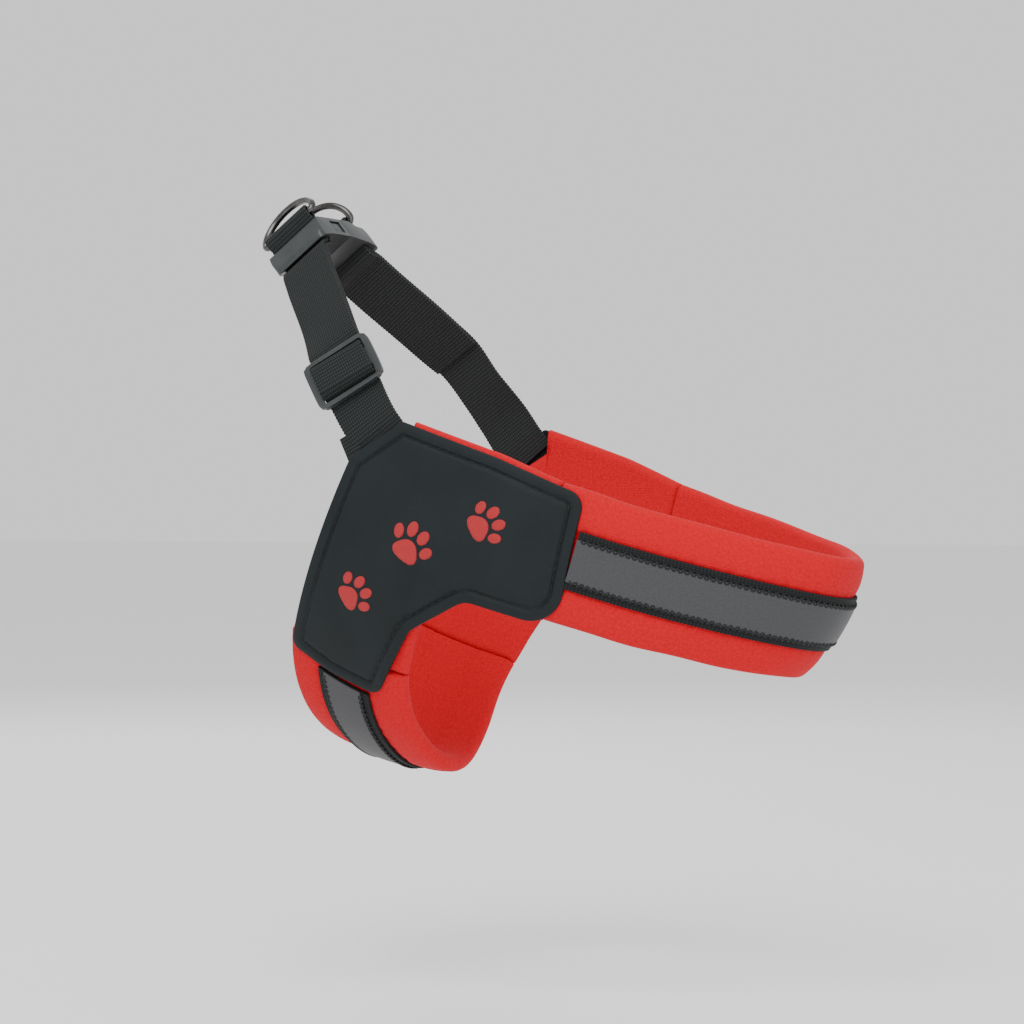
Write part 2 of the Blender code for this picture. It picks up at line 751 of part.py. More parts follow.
def ring(name, side, height, lean, material, sides=8):
    path = ring_centre_line()
    steps = np.roll(path, -1, axis=0) - np.roll(path, 1, axis=0)
    outward = unit(np.stack([steps[:, 1], -steps[:, 0]], -1))
    points = []
    for centre, out in zip(path, outward):
        for k in range(sides):
            turn = 2.0 * math.pi * k / sides
            y, z = centre + RING_WIRE * math.cos(turn) * out
            points.append((RING_WIRE * math.sin(turn), y, z))
    faces = []
    for i in range(len(path)):
        for k in range(sides):
            a, b = i * sides, (i + 1) % len(path) * sides
            j = (k + 1) % sides
            faces.append((a + k, a + j, b + j, b + k))
    piece = add_object(name, points, faces, material, sharp=math.radians(80.0))
    eye = Matrix.Translation((side * RING_STATION, 0.0, height))
    piece.matrix_world = buckle_frame() @ eye @ Matrix.Rotation(lean, 4, "Y")
    return piece


def build():
    for old in list(bpy.data.objects):
        bpy.data.objects.remove(old, do_unlink=True)
    red_cloth = make_material("red padded cloth", (0.70, 0.03, 0.03), 0.85)
    patch_rubber = make_material("dark patch", (0.02, 0.03, 0.035), 0.60)
    black_webbing = make_material("black webbing", (0.03, 0.035, 0.037), 0.80)
    grey_tape = make_material("reflective tape", (0.13, 0.13, 0.14), 0.45)
    plastic = make_material("dark plastic", (0.05, 0.055, 0.06), 0.40)
    steel = make_material("dark nickel steel", (0.33, 0.33, 0.34), 0.30, 1.0)

    band = padded_profile(BAND_WIDTH, PAD_THICK, PAD_ROUND)
    strip_top = LAYER_GAP + WEBBING_THICK
    strip = flat_profile(WEBBING_WIDTH, LAYER_GAP, strip_top)
    tape = flat_profile(TAPE_WIDTH, strip_top + LAYER_GAP, strip_top + LAYER_GAP + TAPE_THICK)
    for route, seam, start, slant in (("chest", CHEST_SEAM, CHEST_STRIP_START, 0.0),
                                      ("girth", GIRTH_SEAM, GIRTH_STRIP_START, GIRTH_STRIP_SLANT)):
        round_band(f"{route}_band", route, seam, band, red_cloth)
        round_band(f"{route}_webbing", route, start, strip, black_webbing, slant)
        round_band(f"{route}_reflective_tape", route, start, tape, grey_tape, slant)

    patch = rounded_outline(PATCH_CORNERS)
    pad = pad_outline()
    rays = plate_rays([patch, pad])
    patch_reach, pad_reach = ray_reach(patch, rays), ray_reach(pad, rays)
    shared = np.minimum(patch_reach, pad_reach) - 2.0
    for side, mirrored in (("near", False), ("far", True)):
        side_plate(f"{side}_side_pad", rays, pad_reach, shared, -PAD_THICK, 0.0, 0.0015, red_cloth, mirrored)
        side_plate(f"{side}_patch", rays, patch_reach, shared, LAYER_GAP, LAYER_GAP + PATCH_THICK, 0.0004,
                   patch_rubber, mirrored)

    ribbon("near_strap", near_strap_path(), WEBBING_WIDTH, WEBBING_THICK, black_webbing, False)
    ribbon("far_strap", far_strap_path(), WEBBING_WIDTH, WEBBING_THICK, black_webbing, True)
    slider(plastic)
    buckle(plastic)
    ring("near_ring", -1.0, NEAR_RING_HEIGHT, NEAR_RING_LEAN, steel)
    ring("far_ring", 1.0, FAR_RING_HEIGHT, FAR_RING_LEAN, steel)


build()
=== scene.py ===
# %% [markdown]
# # A dog chest harness in padded cloth and webbing
#
# A harness like this is cut flat, padded, sewn and then worn, so every soft piece here is made the
# same way. It is drawn flat in metres, given its thickness, and then laid on one smooth trunk form
# by a function that says where each flat point goes. The metal rings and the plastic slider and
# buckle are hard, and are modelled at their own place.

# %% Load the frame
import math

import bmesh
import bpy
import numpy as np
from mathutils import Matrix, Vector


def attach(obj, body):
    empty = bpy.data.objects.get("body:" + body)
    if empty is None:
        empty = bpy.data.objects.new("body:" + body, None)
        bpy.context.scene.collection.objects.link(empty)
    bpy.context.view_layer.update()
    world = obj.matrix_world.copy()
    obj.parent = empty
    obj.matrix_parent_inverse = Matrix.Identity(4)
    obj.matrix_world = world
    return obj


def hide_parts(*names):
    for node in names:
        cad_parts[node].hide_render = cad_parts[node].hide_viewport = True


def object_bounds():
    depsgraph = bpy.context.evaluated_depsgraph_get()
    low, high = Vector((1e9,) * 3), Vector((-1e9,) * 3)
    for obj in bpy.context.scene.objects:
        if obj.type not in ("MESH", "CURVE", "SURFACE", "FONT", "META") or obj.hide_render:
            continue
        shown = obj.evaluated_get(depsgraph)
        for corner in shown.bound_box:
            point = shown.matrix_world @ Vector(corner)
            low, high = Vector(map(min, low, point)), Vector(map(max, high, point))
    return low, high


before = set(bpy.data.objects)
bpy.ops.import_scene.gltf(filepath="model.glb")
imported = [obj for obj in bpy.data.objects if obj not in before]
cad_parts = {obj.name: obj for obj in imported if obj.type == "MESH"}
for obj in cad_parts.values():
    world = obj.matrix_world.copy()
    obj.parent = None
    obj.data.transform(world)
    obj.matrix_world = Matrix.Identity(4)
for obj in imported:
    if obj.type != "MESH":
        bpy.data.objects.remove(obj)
cad_box = [list(corner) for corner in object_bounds()]
BODY = "harness"
MM = 0.001

# %% [markdown]
# ## The camera and the light
#
# A product photograph of a small thing is usually taken from far away with a long lens, so that
# its near and far sides are drawn at nearly the same size. The camera therefore stands more than a
# metre off. Its height is that of the harness, and it looks at its right side.

# %% Camera
CAMERA_AZIMUTH = math.radians(-65.8)
CAMERA_DISTANCE = 1.15
METRES_PER_PIXEL = 0.00035
FRAME_PIXELS = 1024
SENSOR_MM = 36.0
CAMERA_AIM = Vector((0.00214, -0.07135, -0.09040))

away = Vector((math.sin(CAMERA_AZIMUTH), -math.cos(CAMERA_AZIMUTH), 0.0))
camera_data = bpy.data.cameras.new("camera")
camera_data.sensor_width = SENSOR_MM
camera_data.lens = SENSOR_MM * CAMERA_DISTANCE / METRES_PER_PIXEL / FRAME_PIXELS
camera_data.clip_start = 0.01
camera = bpy.data.objects.new("camera", camera_data)
camera.location = CAMERA_AIM + CAMERA_DISTANCE * away
camera.rotation_euler = away.to_track_quat("Z", "Y").to_euler()
bpy.context.scene.collection.objects.link(camera)
bpy.context.scene.camera = camera
print("camera at", [round(x, 4) for x in camera.location], "lens", round(camera_data.lens, 1))

# %% Lights: a large soft key above the camera, a fill from the front and a rim from behind
# name: (direction to the light, distance, size, power)
SOFT_LIGHTS = {
    "key": ((-0.75, -0.20, 0.85), 1.5, 1.1, 17.0),
    "fill": ((-0.60, -1.0, 0.10), 1.7, 1.4, 6.0),
    "rim": ((0.75, 0.60, 0.70), 1.6, 1.0, 8.0),
}
for name, (direction, distance, size, power) in SOFT_LIGHTS.items():
    lamp_data = bpy.data.lights.new(name, "AREA")
    lamp_data.size = size
    lamp_data.energy = power
    lamp = bpy.data.objects.new(name, lamp_data)
    toward = Vector(direction).normalized()
    lamp.location = CAMERA_AIM + distance * toward
    lamp.rotation_euler = toward.to_track_quat("Z", "Y").to_euler()
    bpy.context.scene.collection.objects.link(lamp)

WORLD_STRENGTH = 1.0
world = bpy.data.worlds.new("studio")
world.use_nodes = True
world.node_tree.nodes["Background"].inputs["Color"].default_value = (1.0, 1.0, 1.0, 1.0)
world.node_tree.nodes["Background"].inputs["Strength"].default_value = WORLD_STRENGTH
bpy.context.scene.world = world
print("lights:", ", ".join(SOFT_LIGHTS))

# %% [markdown]
# ## The trunk form
#
# Worn cloth takes the rounded shape of a trunk, and this harness is shown as worn. The shape is an
# ellipsoid here, measured over the outer face of the padding. One form for all the cloth keeps
# the pieces parallel, so that a strip 0.4 mm above a band stays 0.4 mm above it everywhere.

# %% The form and its routes
HALF_WIDTH = 0.060
LONG_HALF = 0.135
SHORT_HALF = 0.098
FORM_TILT = math.radians(6.0)
SIDES = (("near", False), ("far", True))

# Pitch of each band's centre line in degrees from the tail end towards up:
# middle + swing * a^2 + curl * a^3, where a falls from 1 on the side to 0 over the straight share
ROUTES = {
    "strap": (51.8, 13.0, -23.4, 0.3),
    "chest": (199.1, 1.2, 7.7, 0.0),
    "girth": (292.1, 62.4, -47.3, 0.0),
}


def form_matrix():
    turn = np.array([[math.cos(FORM_TILT), -math.sin(FORM_TILT)],
                     [math.sin(FORM_TILT), math.cos(FORM_TILT)]])
    plane = turn @ np.diag([LONG_HALF ** -2, SHORT_HALF ** -2]) @ turn.T
    matrix = np.zeros((3, 3))
    matrix[0, 0] = HALF_WIDTH ** -2
    matrix[1:, 1:] = plane
    return matrix


FORM = form_matrix()


def unit(vectors):
    return vectors / np.linalg.norm(vectors, axis=-1, keepdims=True)


def running_length(points):
    """How far each point of a line is from the first, measured along the line."""
    steps = np.linalg.norm(np.diff(points, axis=0), axis=1)
    return np.concatenate([[0.0], np.cumsum(steps)])


def read_along(places, known, line):
    """Points of a flat line at places between the known ones."""
    return np.stack([np.interp(places, known, line[:, axis]) for axis in (0, 1)], -1)


def turned(x, y, angle):
    """Flat coordinates turned about the origin."""
    c, s = math.cos(angle), math.sin(angle)
    return c * x - s * y, s * x + c * y


def arc(x, z, wide, high, degrees):
    """Points round a middle at x, z, one for each of the degrees."""
    turns = [math.radians(turn) for turn in degrees]
    return [(x + wide * math.cos(turn), z + high * math.sin(turn)) for turn in turns]


def onto_form(points):
    level = np.sqrt(np.einsum("...i,ij,...j->...", points, FORM, points))
    return points / level[..., None]


def form_normal(points):
    return unit(points @ FORM)


def side_radius(pitch):
    y, z = np.cos(pitch), np.sin(pitch)
    return (FORM[1, 1] * y * y + 2.0 * FORM[1, 2] * y * z + FORM[2, 2] * z * z) ** -0.5


WITHERS_PITCH = math.radians(ROUTES["strap"][0])
WITHERS_RADIUS = float(side_radius(WITHERS_PITCH))
WITHERS_DROP = 0.0040
UP_THE_STRAP = np.array([0.0, math.cos(WITHERS_PITCH), math.sin(WITHERS_PITCH)])
FORM_CENTRE = -(WITHERS_RADIUS - WITHERS_DROP) * UP_THE_STRAP
print("form centre in mm", np.round(FORM_CENTRE / MM, 2))

# %% Laying a band on the form
LENGTH_START = 1e-3
LENGTH_SAMPLES = 2400


def route_pitch(route, angle):
    middle, swing, curl, straight = ROUTES[route]
    aside = np.abs(1.0 - angle / (0.5 * math.pi))
    aside = np.maximum(0.0, aside - straight) / (1.0 - straight)
    return np.radians(middle + swing * aside ** 2 + curl * aside ** 3)


def route_centre(route, angle):
    pitch = route_pitch(route, angle)
    reach = side_radius(pitch) * np.sin(angle)
    return np.stack([-HALF_WIDTH * np.cos(angle), reach * np.cos(pitch), reach * np.sin(pitch)], -1)


def route_tangent(route, angle):
    step = 1e-4
    return unit(route_centre(route, angle + step) - route_centre(route, angle - step))


def route_lengths(route):
    angles = np.linspace(LENGTH_START, math.pi - LENGTH_START, LENGTH_SAMPLES)
    return angles, running_length(route_centre(route, angles))


LENGTHS = {route: route_lengths(route) for route in ROUTES}


def on_band(route, length, across, height):
    """World place of cloth on a band: length along it from the near side, across it, and how
    high it lies over the form."""
    angles, lengths = LENGTHS[route]
    centre = route_centre(route, np.interp(length, lengths, angles))
    tangent = route_tangent(route, np.interp(length, lengths, angles))
    sideways = unit(np.cross(form_normal(centre), tangent))
    foot = onto_form(centre + across[..., None] * sideways)
    return FORM_CENTRE + foot + height[..., None] * form_normal(foot)


for route, (angles, lengths) in LENGTHS.items():
    print(route, "route from side to side:", round(float(lengths[-1]) / MM, 1), "mm")

# %% Laying the side pieces on the form
MERIDIAN = np.linspace(0.0, 0.62 * math.pi, 240)
CHUNK = 6000


def on_side(forward, up, height, far=False):
    """World place of the flat cut of a side piece, measured from the middle of the side."""
    places = []
    for start in range(0, len(forward), CHUNK):
        part = slice(start, start + CHUNK)
        pitch = np.arctan2(up[part], -forward[part])
        radius = side_radius(pitch)
        speed = np.hypot(HALF_WIDTH * np.sin(MERIDIAN), radius[:, None] * np.cos(MERIDIAN))
        steps = 0.5 * (speed[:, 1:] + speed[:, :-1]) * np.diff(MERIDIAN)
        lengths = np.concatenate([np.zeros((len(pitch), 1)), np.cumsum(steps, axis=1)], axis=1)
        reach = np.hypot(forward[part], up[part])
        before = np.clip((lengths < reach[:, None]).sum(axis=1) - 1, 0, len(MERIDIAN) - 2)
        rows = np.arange(len(pitch))
        share = (reach - lengths[rows, before]) / (lengths[rows, before + 1] - lengths[rows, before])
        angle = MERIDIAN[before] + share * (MERIDIAN[1] - MERIDIAN[0])
        out = radius * np.sin(angle)
        foot = np.stack([-HALF_WIDTH * np.cos(angle), out * np.cos(pitch), out * np.sin(pitch)], -1)
        places.append(FORM_CENTRE + foot + height[part][:, None] * form_normal(foot))
    places = np.concatenate(places)
    return places * np.array([-1.0, 1.0, 1.0]) if far else places


print("side pole at", np.round(on_side(np.array([0.0]), np.array([1e-6]), np.array([0.0]))[0] / MM, 1))

# %% The back strap's own loop
SLIDER_STATION = 0.0533
SLIDER_SINK = 0.0028
SLIDER_TWIST = math.radians(15.0)
SLIDER_TWIST_SPREAD = 0.016
SEARCH_STEPS = 12
SEARCH_CARE = 1.6


def loop_foot(angle):
    return np.stack([-HALF_WIDTH * np.cos(angle), WITHERS_RADIUS * np.sin(angle)], -1)


def loop_normal(angle):
    return unit(np.stack([-np.cos(angle) / HALF_WIDTH, np.sin(angle) / WITHERS_RADIUS], -1))


def on_loop(length, height):
    """A point of the strap's loop, drawn in a plane: x across the body, z out along the back."""
    angle = np.interp(length, LENGTHS["strap"][1], LENGTHS["strap"][0])
    return loop_foot(angle) + np.asarray(height)[..., None] * loop_normal(angle)


def on_strap(points, across, far=False):
    """Lift points of the loop's plane into space, with the strap's twist at the slider."""
    angle = np.arctan2(points[:, 1] / WITHERS_RADIUS, -points[:, 0] / HALF_WIDTH)
    for _ in range(SEARCH_STEPS):
        normal = loop_normal(angle)
        along = np.stack([normal[:, 1], -normal[:, 0]], -1)
        speed = np.hypot(HALF_WIDTH * np.sin(angle), WITHERS_RADIUS * np.cos(angle))
        angle = angle + ((points - loop_foot(angle)) * along).sum(axis=1) / (speed * SEARCH_CARE)
    outward = loop_normal(angle)
    height = ((points - loop_foot(angle)) * outward).sum(axis=1)
    pitch = route_pitch("strap", angle)
    normal = np.stack([outward[:, 0], outward[:, 1] * np.cos(pitch), outward[:, 1] * np.sin(pitch)], -1)
    tangent = route_tangent("strap", angle)
    normal = unit(normal - (normal * tangent).sum(axis=1)[:, None] * tangent)
    sideways = np.cross(normal, tangent)
    length = np.interp(angle, *LENGTHS["strap"])
    twist = SLIDER_TWIST * np.exp(-((length - SLIDER_STATION) / SLIDER_TWIST_SPREAD) ** 2)[:, None]
    turned_side = np.cos(twist) * sideways + np.sin(twist) * normal
    turned_normal = np.cos(twist) * normal - np.sin(twist) * sideways
    places = FORM_CENTRE + route_centre("strap", angle)
    places = places + height[:, None] * turned_normal + across[:, None] * turned_side
    return places * np.array([-1.0, 1.0, 1.0]) if far else places


def at_slider(length, height):
    """A point beside the slider, where the taut strap lies below the form's surface."""
    return on_loop(SLIDER_STATION + length, height - SLIDER_SINK)


def above_withers(x, z):
    return np.array([x, WITHERS_RADIUS - WITHERS_DROP + z])


print("strap loop:", round(float(LENGTHS["strap"][1][-1]) / MM, 1), "mm from side to side")

# %% [markdown]
# ## Finishes
#
# Each material is made of nodes, so that it has the grain of the real stuff at its real size. A
# pattern that has to follow the cloth, such as a weave, reads a UV map called "cut", which holds
# each point's place on the flat cut in metres. A pattern that has no direction, such as the grain
# of plastic, reads Object coordinates.

# %% Helpers for finishes
CUT = "cut"


def new_finish(name, colour, roughness, metallic=0.0, sheen=0.0, specular=0.5):
    material = bpy.data.materials.new(name)
    material.use_nodes = True
    shader = material.node_tree.nodes["Principled BSDF"]
    shader.inputs["Base Color"].default_value = (*colour, 1.0)
    shader.inputs["Roughness"].default_value = roughness
    shader.inputs["Metallic"].default_value = metallic
    shader.inputs["Specular IOR Level"].default_value = specular
    shader.inputs["Sheen Weight"].default_value = sheen
    shader.inputs["Sheen Roughness"].default_value = 0.5
    return material


def add_node(material, kind, **settings):
    node = material.node_tree.nodes.new(kind)
    for name, value in settings.items():
        if hasattr(node, name):
            setattr(node, name, value)
        else:
            node.inputs[name].default_value = value
    return node


def link(material, source, target):
    material.node_tree.links.new(source, target)


def place_of(material, on_cut, scale=(1.0, 1.0, 1.0)):
    """The coordinates that a pattern reads, stretched by scale."""
    mapping = add_node(material, "ShaderNodeMapping")
    mapping.inputs["Scale"].default_value = scale
    if on_cut:
        source = add_node(material, "ShaderNodeUVMap", uv_map=CUT).outputs["UV"]
    else:
        source = add_node(material, "ShaderNodeTexCoord").outputs["Object"]
    link(material, source, mapping.inputs["Vector"])
    return mapping.outputs["Vector"]


def noise_on(material, on_cut, scale, detail=3.0, stretch=(1.0, 1.0, 1.0)):
    noise = add_node(material, "ShaderNodeTexNoise")
    noise.inputs["Scale"].default_value = scale
    noise.inputs["Detail"].default_value = detail
    link(material, place_of(material, on_cut, stretch), noise.inputs["Vector"])
    return noise.outputs["Fac"]


def wave_on(material, direction, pitch, distortion=0.0):
    """Bands across the cut, one for each pitch in metres, along direction X or Y."""
    wave = add_node(material, "ShaderNodeTexWave", wave_type="BANDS", bands_direction=direction)
    wave.inputs["Scale"].default_value = math.pi / (10.0 * pitch)
    wave.inputs["Distortion"].default_value = distortion
    link(material, place_of(material, True), wave.inputs["Vector"])
    return wave.outputs["Fac"]


def combine(material, operation, first, second):
    node = add_node(material, "ShaderNodeMath", operation=operation)
    for socket, value in zip(node.inputs, (first, second)):
        if isinstance(value, float):
            socket.default_value = value
        else:
            link(material, value, socket)
    return node.outputs["Value"]


def shader_input(material, name):
    return material.node_tree.nodes["Principled BSDF"].inputs[name]


def mottle_and_shade(material, low, high, factor, low_at=0.3, high_at=0.7):
    """Colour that runs between two tones along a factor: random tone where the factor is a noise, and
    painted shade and painted highlight where it is a relief.
    """
    ramp = add_node(material, "ShaderNodeValToRGB")
    ramp.color_ramp.elements[0].position = low_at
    ramp.color_ramp.elements[0].color = (*low, 1.0)
    ramp.color_ramp.elements[1].position = high_at
    ramp.color_ramp.elements[1].color = (*high, 1.0)
    link(material, factor, ramp.inputs["Fac"])
    link(material, ramp.outputs["Color"], shader_input(material, "Base Color"))


def roughen(material, low, high, factor):
    """Roughness that runs between two values."""
    spread = add_node(material, "ShaderNodeMapRange")
    spread.inputs["To Min"].default_value = low
    spread.inputs["To Max"].default_value = high
    link(material, factor, spread.inputs["Value"])
    link(material, spread.outputs["Result"], shader_input(material, "Roughness"))


def bump(material, height, depth, strength=1.0):
    """Fine relief of the given depth in metres."""
    node = add_node(material, "ShaderNodeBump")
    node.inputs["Distance"].default_value = depth
    node.inputs["Strength"].default_value = strength
    link(material, height, node.inputs["Height"])
    link(material, node.outputs["Normal"], shader_input(material, "Normal"))


print("helpers for finishes are ready")

# %% [markdown]
# The red cloth is a knitted face on foam. A knit has columns of small loops, so two sets of bands
# are multiplied, and a soft noise keeps the colour from being flat.

# %% Red padded cloth
KNIT_PITCH = 0.0011
red_cloth = new_finish("red padded knit", (0.54, 0.003, 0.010), 0.88, sheen=0.03, specular=0.15)
knit = combine(red_cloth, "MULTIPLY", wave_on(red_cloth, "X", KNIT_PITCH, 0.6),
               wave_on(red_cloth, "Y", 0.8 * KNIT_PITCH, 0.6))
knit_fuzz = combine(red_cloth, "MULTIPLY", noise_on(red_cloth, True, 2600.0, 2.0), 0.5)
bump(red_cloth, combine(red_cloth, "ADD", knit, knit_fuzz), 0.00012, 0.7)
mottle_and_shade(red_cloth, (0.49, 0.002, 0.008), (0.58, 0.004, 0.013), noise_on(red_cloth, True, 900.0, 3.0))
print("finish:", red_cloth.name)

# %% [markdown]
# Webbing is woven with thick ribs across it. The ribs are in the mesh, and the material adds the
# yarns, which run along the strap and dive under every second rib. The same relief sets the colour:
# painted shade in its hollows and painted highlight on its crowns, with a little random tone.

# %% Webbing, tape and thread
RIB_PITCH = 0.00125
YARN_PITCH = 0.00085


def webbing_finish(name, low, high):
    material = new_finish(name, low, 0.80, sheen=0.03, specular=0.25)
    ribs = wave_on(material, "X", RIB_PITCH)
    yarns = wave_on(material, "Y", YARN_PITCH, 0.3)
    weave_relief_and_shade = combine(material, "ADD", combine(material, "MULTIPLY", ribs, yarns),
                    combine(material, "MULTIPLY", noise_on(material, True, 5200.0, 2.0), 0.35))
    bump(material, weave_relief_and_shade, 0.00016, 0.8)
    # Colour follows the weave's relief: painted shade in the hollows, painted highlight on the crowns, plus
    # random tone from the noise.
    mottle_and_shade(material, low, high, weave_relief_and_shade, 0.15, 1.0)
    return material


black_webbing = webbing_finish("black ribbed webbing", (0.004, 0.005, 0.005), (0.026, 0.031, 0.031))
smooth_webbing = webbing_finish("black webbing strip", (0.003, 0.004, 0.004), (0.016, 0.019, 0.020))

reflective_tape = new_finish("grey reflective tape", (0.044, 0.045, 0.049), 0.46, specular=0.35)
bead_grain = noise_on(reflective_tape, True, 3800.0, 2.0)
bump(reflective_tape, bead_grain, 0.00004, 0.6)
tape_wear = noise_on(reflective_tape, True, 1500.0, 4.0)
mottle_and_shade(reflective_tape, (0.036, 0.037, 0.040), (0.052, 0.053, 0.057), tape_wear)
roughen(reflective_tape, 0.44, 0.60, bead_grain)

black_thread = new_finish("black thread", (0.006, 0.007, 0.008), 0.7, sheen=0.05, specular=0.3)
bump(black_thread, noise_on(black_thread, False, 6000.0, 2.0), 0.00005, 0.6)
thread_tone = noise_on(black_thread, False, 3000.0, 2.0)
mottle_and_shade(black_thread, (0.004, 0.005, 0.005), (0.012, 0.014, 0.015), thread_tone)

THREAD_PITCH = 0.00042
red_thread = new_finish("red embroidery thread", (0.30, 0.012, 0.015), 0.55, sheen=0.05, specular=0.35)
satin_relief_and_shade = wave_on(red_thread, "X", THREAD_PITCH, 0.25)
bump(red_thread, satin_relief_and_shade, 0.00012, 0.9)
# Colour follows the satin threads' relief: painted shade between the threads and painted highlight on their
# crowns.
mottle_and_shade(red_thread, (0.24, 0.008, 0.011), (0.50, 0.020, 0.024), satin_relief_and_shade, 0.05, 0.75)
print("finishes:", ", ".join(m.name for m in (black_webbing, reflective_tape, black_thread, red_thread)))

# %% Patch, plastic and metal
patch_rubber = new_finish("dark rubbery patch", (0.006, 0.009, 0.011), 0.68, specular=0.25)
grain = noise_on(patch_rubber, True, 2100.0, 5.0)
grain_and_dimples = combine(patch_rubber, "ADD", grain, noise_on(patch_rubber, True, 340.0, 3.0))
bump(patch_rubber, grain_and_dimples, 0.00007, 0.55)
mottle_and_shade(patch_rubber, (0.004, 0.007, 0.008), (0.007, 0.011, 0.013), noise_on(patch_rubber, True, 46.0, 4.0))
roughen(patch_rubber, 0.56, 0.76, grain)

dark_plastic = new_finish("dark moulded plastic", (0.022, 0.027, 0.028), 0.36)
plastic_grain = noise_on(dark_plastic, False, 2400.0, 4.0)
bump(dark_plastic, plastic_grain, 0.00003, 0.5)
plastic_tone = noise_on(dark_plastic, False, 150.0, 4.0)
mottle_and_shade(dark_plastic, (0.018, 0.023, 0.024), (0.030, 0.035, 0.036), plastic_tone)
roughen(dark_plastic, 0.30, 0.46, plastic_grain)

dark_steel = new_finish("dark nickel plate", (0.095, 0.092, 0.090), 0.24, metallic=1.0)
scratches = noise_on(dark_steel, False, 900.0, 5.0, (1.0, 6.0, 1.0))
bump(dark_steel, scratches, 0.00001, 0.5)
mottle_and_shade(dark_steel, (0.065, 0.063, 0.061), (0.130, 0.126, 0.123), noise_on(dark_steel, False, 220.0, 3.0))
roughen(dark_steel, 0.16, 0.32, scratches)
print("finishes:", ", ".join(m.name for m in (patch_rubber, dark_plastic, dark_steel)))

# %% [markdown]
# ## Small helpers for cloth
#
# Real cloth is never quite even. A sum of a few waves whose lengths don't fit into each other
# gives an uneven ripple that is the same on every run, so nothing has to be drawn at random.

# %% Ripples and lofts
GOLDEN = 0.5 * (1.0 + math.sqrt(5.0))


def ripple(position, wavelength, start):
    """An uneven wave between about -1 and 1."""
    total = np.zeros_like(position)
    for k, weight in enumerate((0.5, 0.3, 0.2)):
        stretch = GOLDEN ** (0.5 * k)
        total = total + weight * np.sin(2.0 * math.pi * position * stretch / wavelength + start * (k + 1.7))
    return total


def finish_piece(piece, material, body=BODY, stands_for=()):
    """Smooth shading, material, slot and body for a piece that is in its place."""
    piece.data.materials.clear()
    piece.data.materials.append(material)
    piece.data.shade_smooth()
    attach(piece, body)
    if stands_for:
        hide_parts(*stands_for)
    return piece


def mark_cut(piece, cut):
    """Keep the flat place of every point as the UV map that the finishes read."""
    while piece.data.uv_layers:
        piece.data.uv_layers.remove(piece.data.uv_layers[0])
    layer = piece.data.uv_layers.new(name=CUT)
    corners = np.empty(len(piece.data.loops), dtype=np.int32)
    piece.data.loops.foreach_get("vertex_index", corners)
    layer.data.foreach_set("uv", np.asarray(cut, dtype=np.float32)[corners].ravel())


def mesh_piece(name, points, faces, cut):
    """A piece from points, faces and each point's place on the flat cut."""
    mesh = bpy.data.meshes.new(name)
    mesh.from_pydata(np.asarray(points).tolist(), [], faces)
    shape = bmesh.new()
    shape.from_mesh(mesh)
    bmesh.ops.recalc_face_normals(shape, faces=shape.faces)
    shape.to_mesh(mesh)
    shape.free()
    piece = bpy.data.objects.new(name, mesh)
    bpy.context.scene.collection.objects.link(piece)
    mark_cut(piece, cut)
    return piece


def ring_faces(starts, size):
    """Faces between rings of points, each given by the number of its first point."""
    faces = []
    for a, b in zip(starts, starts[1:]):
        for i in range(size):
            j = (i + 1) % size
            faces.append((a + i, a + j, b + j, b + i))
    return faces


def loft_faces(ring_count, ring_size):
    """Faces of a loft whose first and last ring are filled in."""
    starts = range(0, ring_count * ring_size, ring_size)
    faces = ring_faces(starts, ring_size)
    for start in (starts[0], starts[-1]):
        for i in range(ring_size // 2 - 1):
            j = ring_size - 1 - i
            faces.append((start + i, start + i + 1, start + j - 1, start + j))
    return faces


print("ripple runs from", round(float(ripple(np.linspace(0, 1, 999), 0.03, 1.0).min()), 2), "to",
      round(float(ripple(np.linspace(0, 1, 999), 0.03, 1.0).max()), 2))

# %% [markdown]
# ## The padded bands
#
# On the real harness a strip of foam is wrapped in knit cloth with rounded, turned edges. The
# webbing is sewn down its middle, which pulls the cloth in along both lines of stitches, and the
# two red margins puff up between the stitches and the edge. The cloth gathers in small puckers
# beside the stitches. Simulated cloth would lose these narrow lines in its remesh, so each section
# of the band is worked out instead, from edge to edge, and the sections are lofted.

# %% The padded section
BAND_WIDTH = 0.048
PAD_THICK = 0.005
STITCH_LINE = 0.0088
MARGIN_PUFF = 0.0009
STITCH_PULL = 0.0003
INNER_PUFF = 0.0006
PUCKER = 0.00022
PUCKER_PITCH = 0.0062
SWELL = 0.28
SWELL_PITCH = 0.034
EDGE_WANDER = 0.00028
WANDER_PITCH = 0.041
SECTION_STEPS = 44
EDGE_STEPS = 9


def puff(across, reach):
    """How far the cloth rises between the stitch line and the edge, from 0 to 1."""
    share = np.clip((np.abs(across) - STITCH_LINE) / (reach - STITCH_LINE), 0.0, 1.0)
    return np.sin(math.pi * share ** 0.8) ** 0.8


def padded_section():
    """Points round the section: across, and where each lies between the inner and outer face."""
    flat = 0.5 * BAND_WIDTH - 0.5 * PAD_THICK
    turns = np.linspace(0.5 * math.pi, -0.5 * math.pi, EDGE_STEPS + 2)[1:-1]
    across = np.linspace(-flat, flat, SECTION_STEPS)
    outer = [(y, 1.0) for y in across]
    right = [(flat + 0.5 * PAD_THICK * math.cos(t), math.sin(t)) for t in turns]
    inner = [(y, -1.0) for y in across[::-1]]
    left = [(-y, -side) for y, side in right]
    return np.array(outer + right + inner + left)


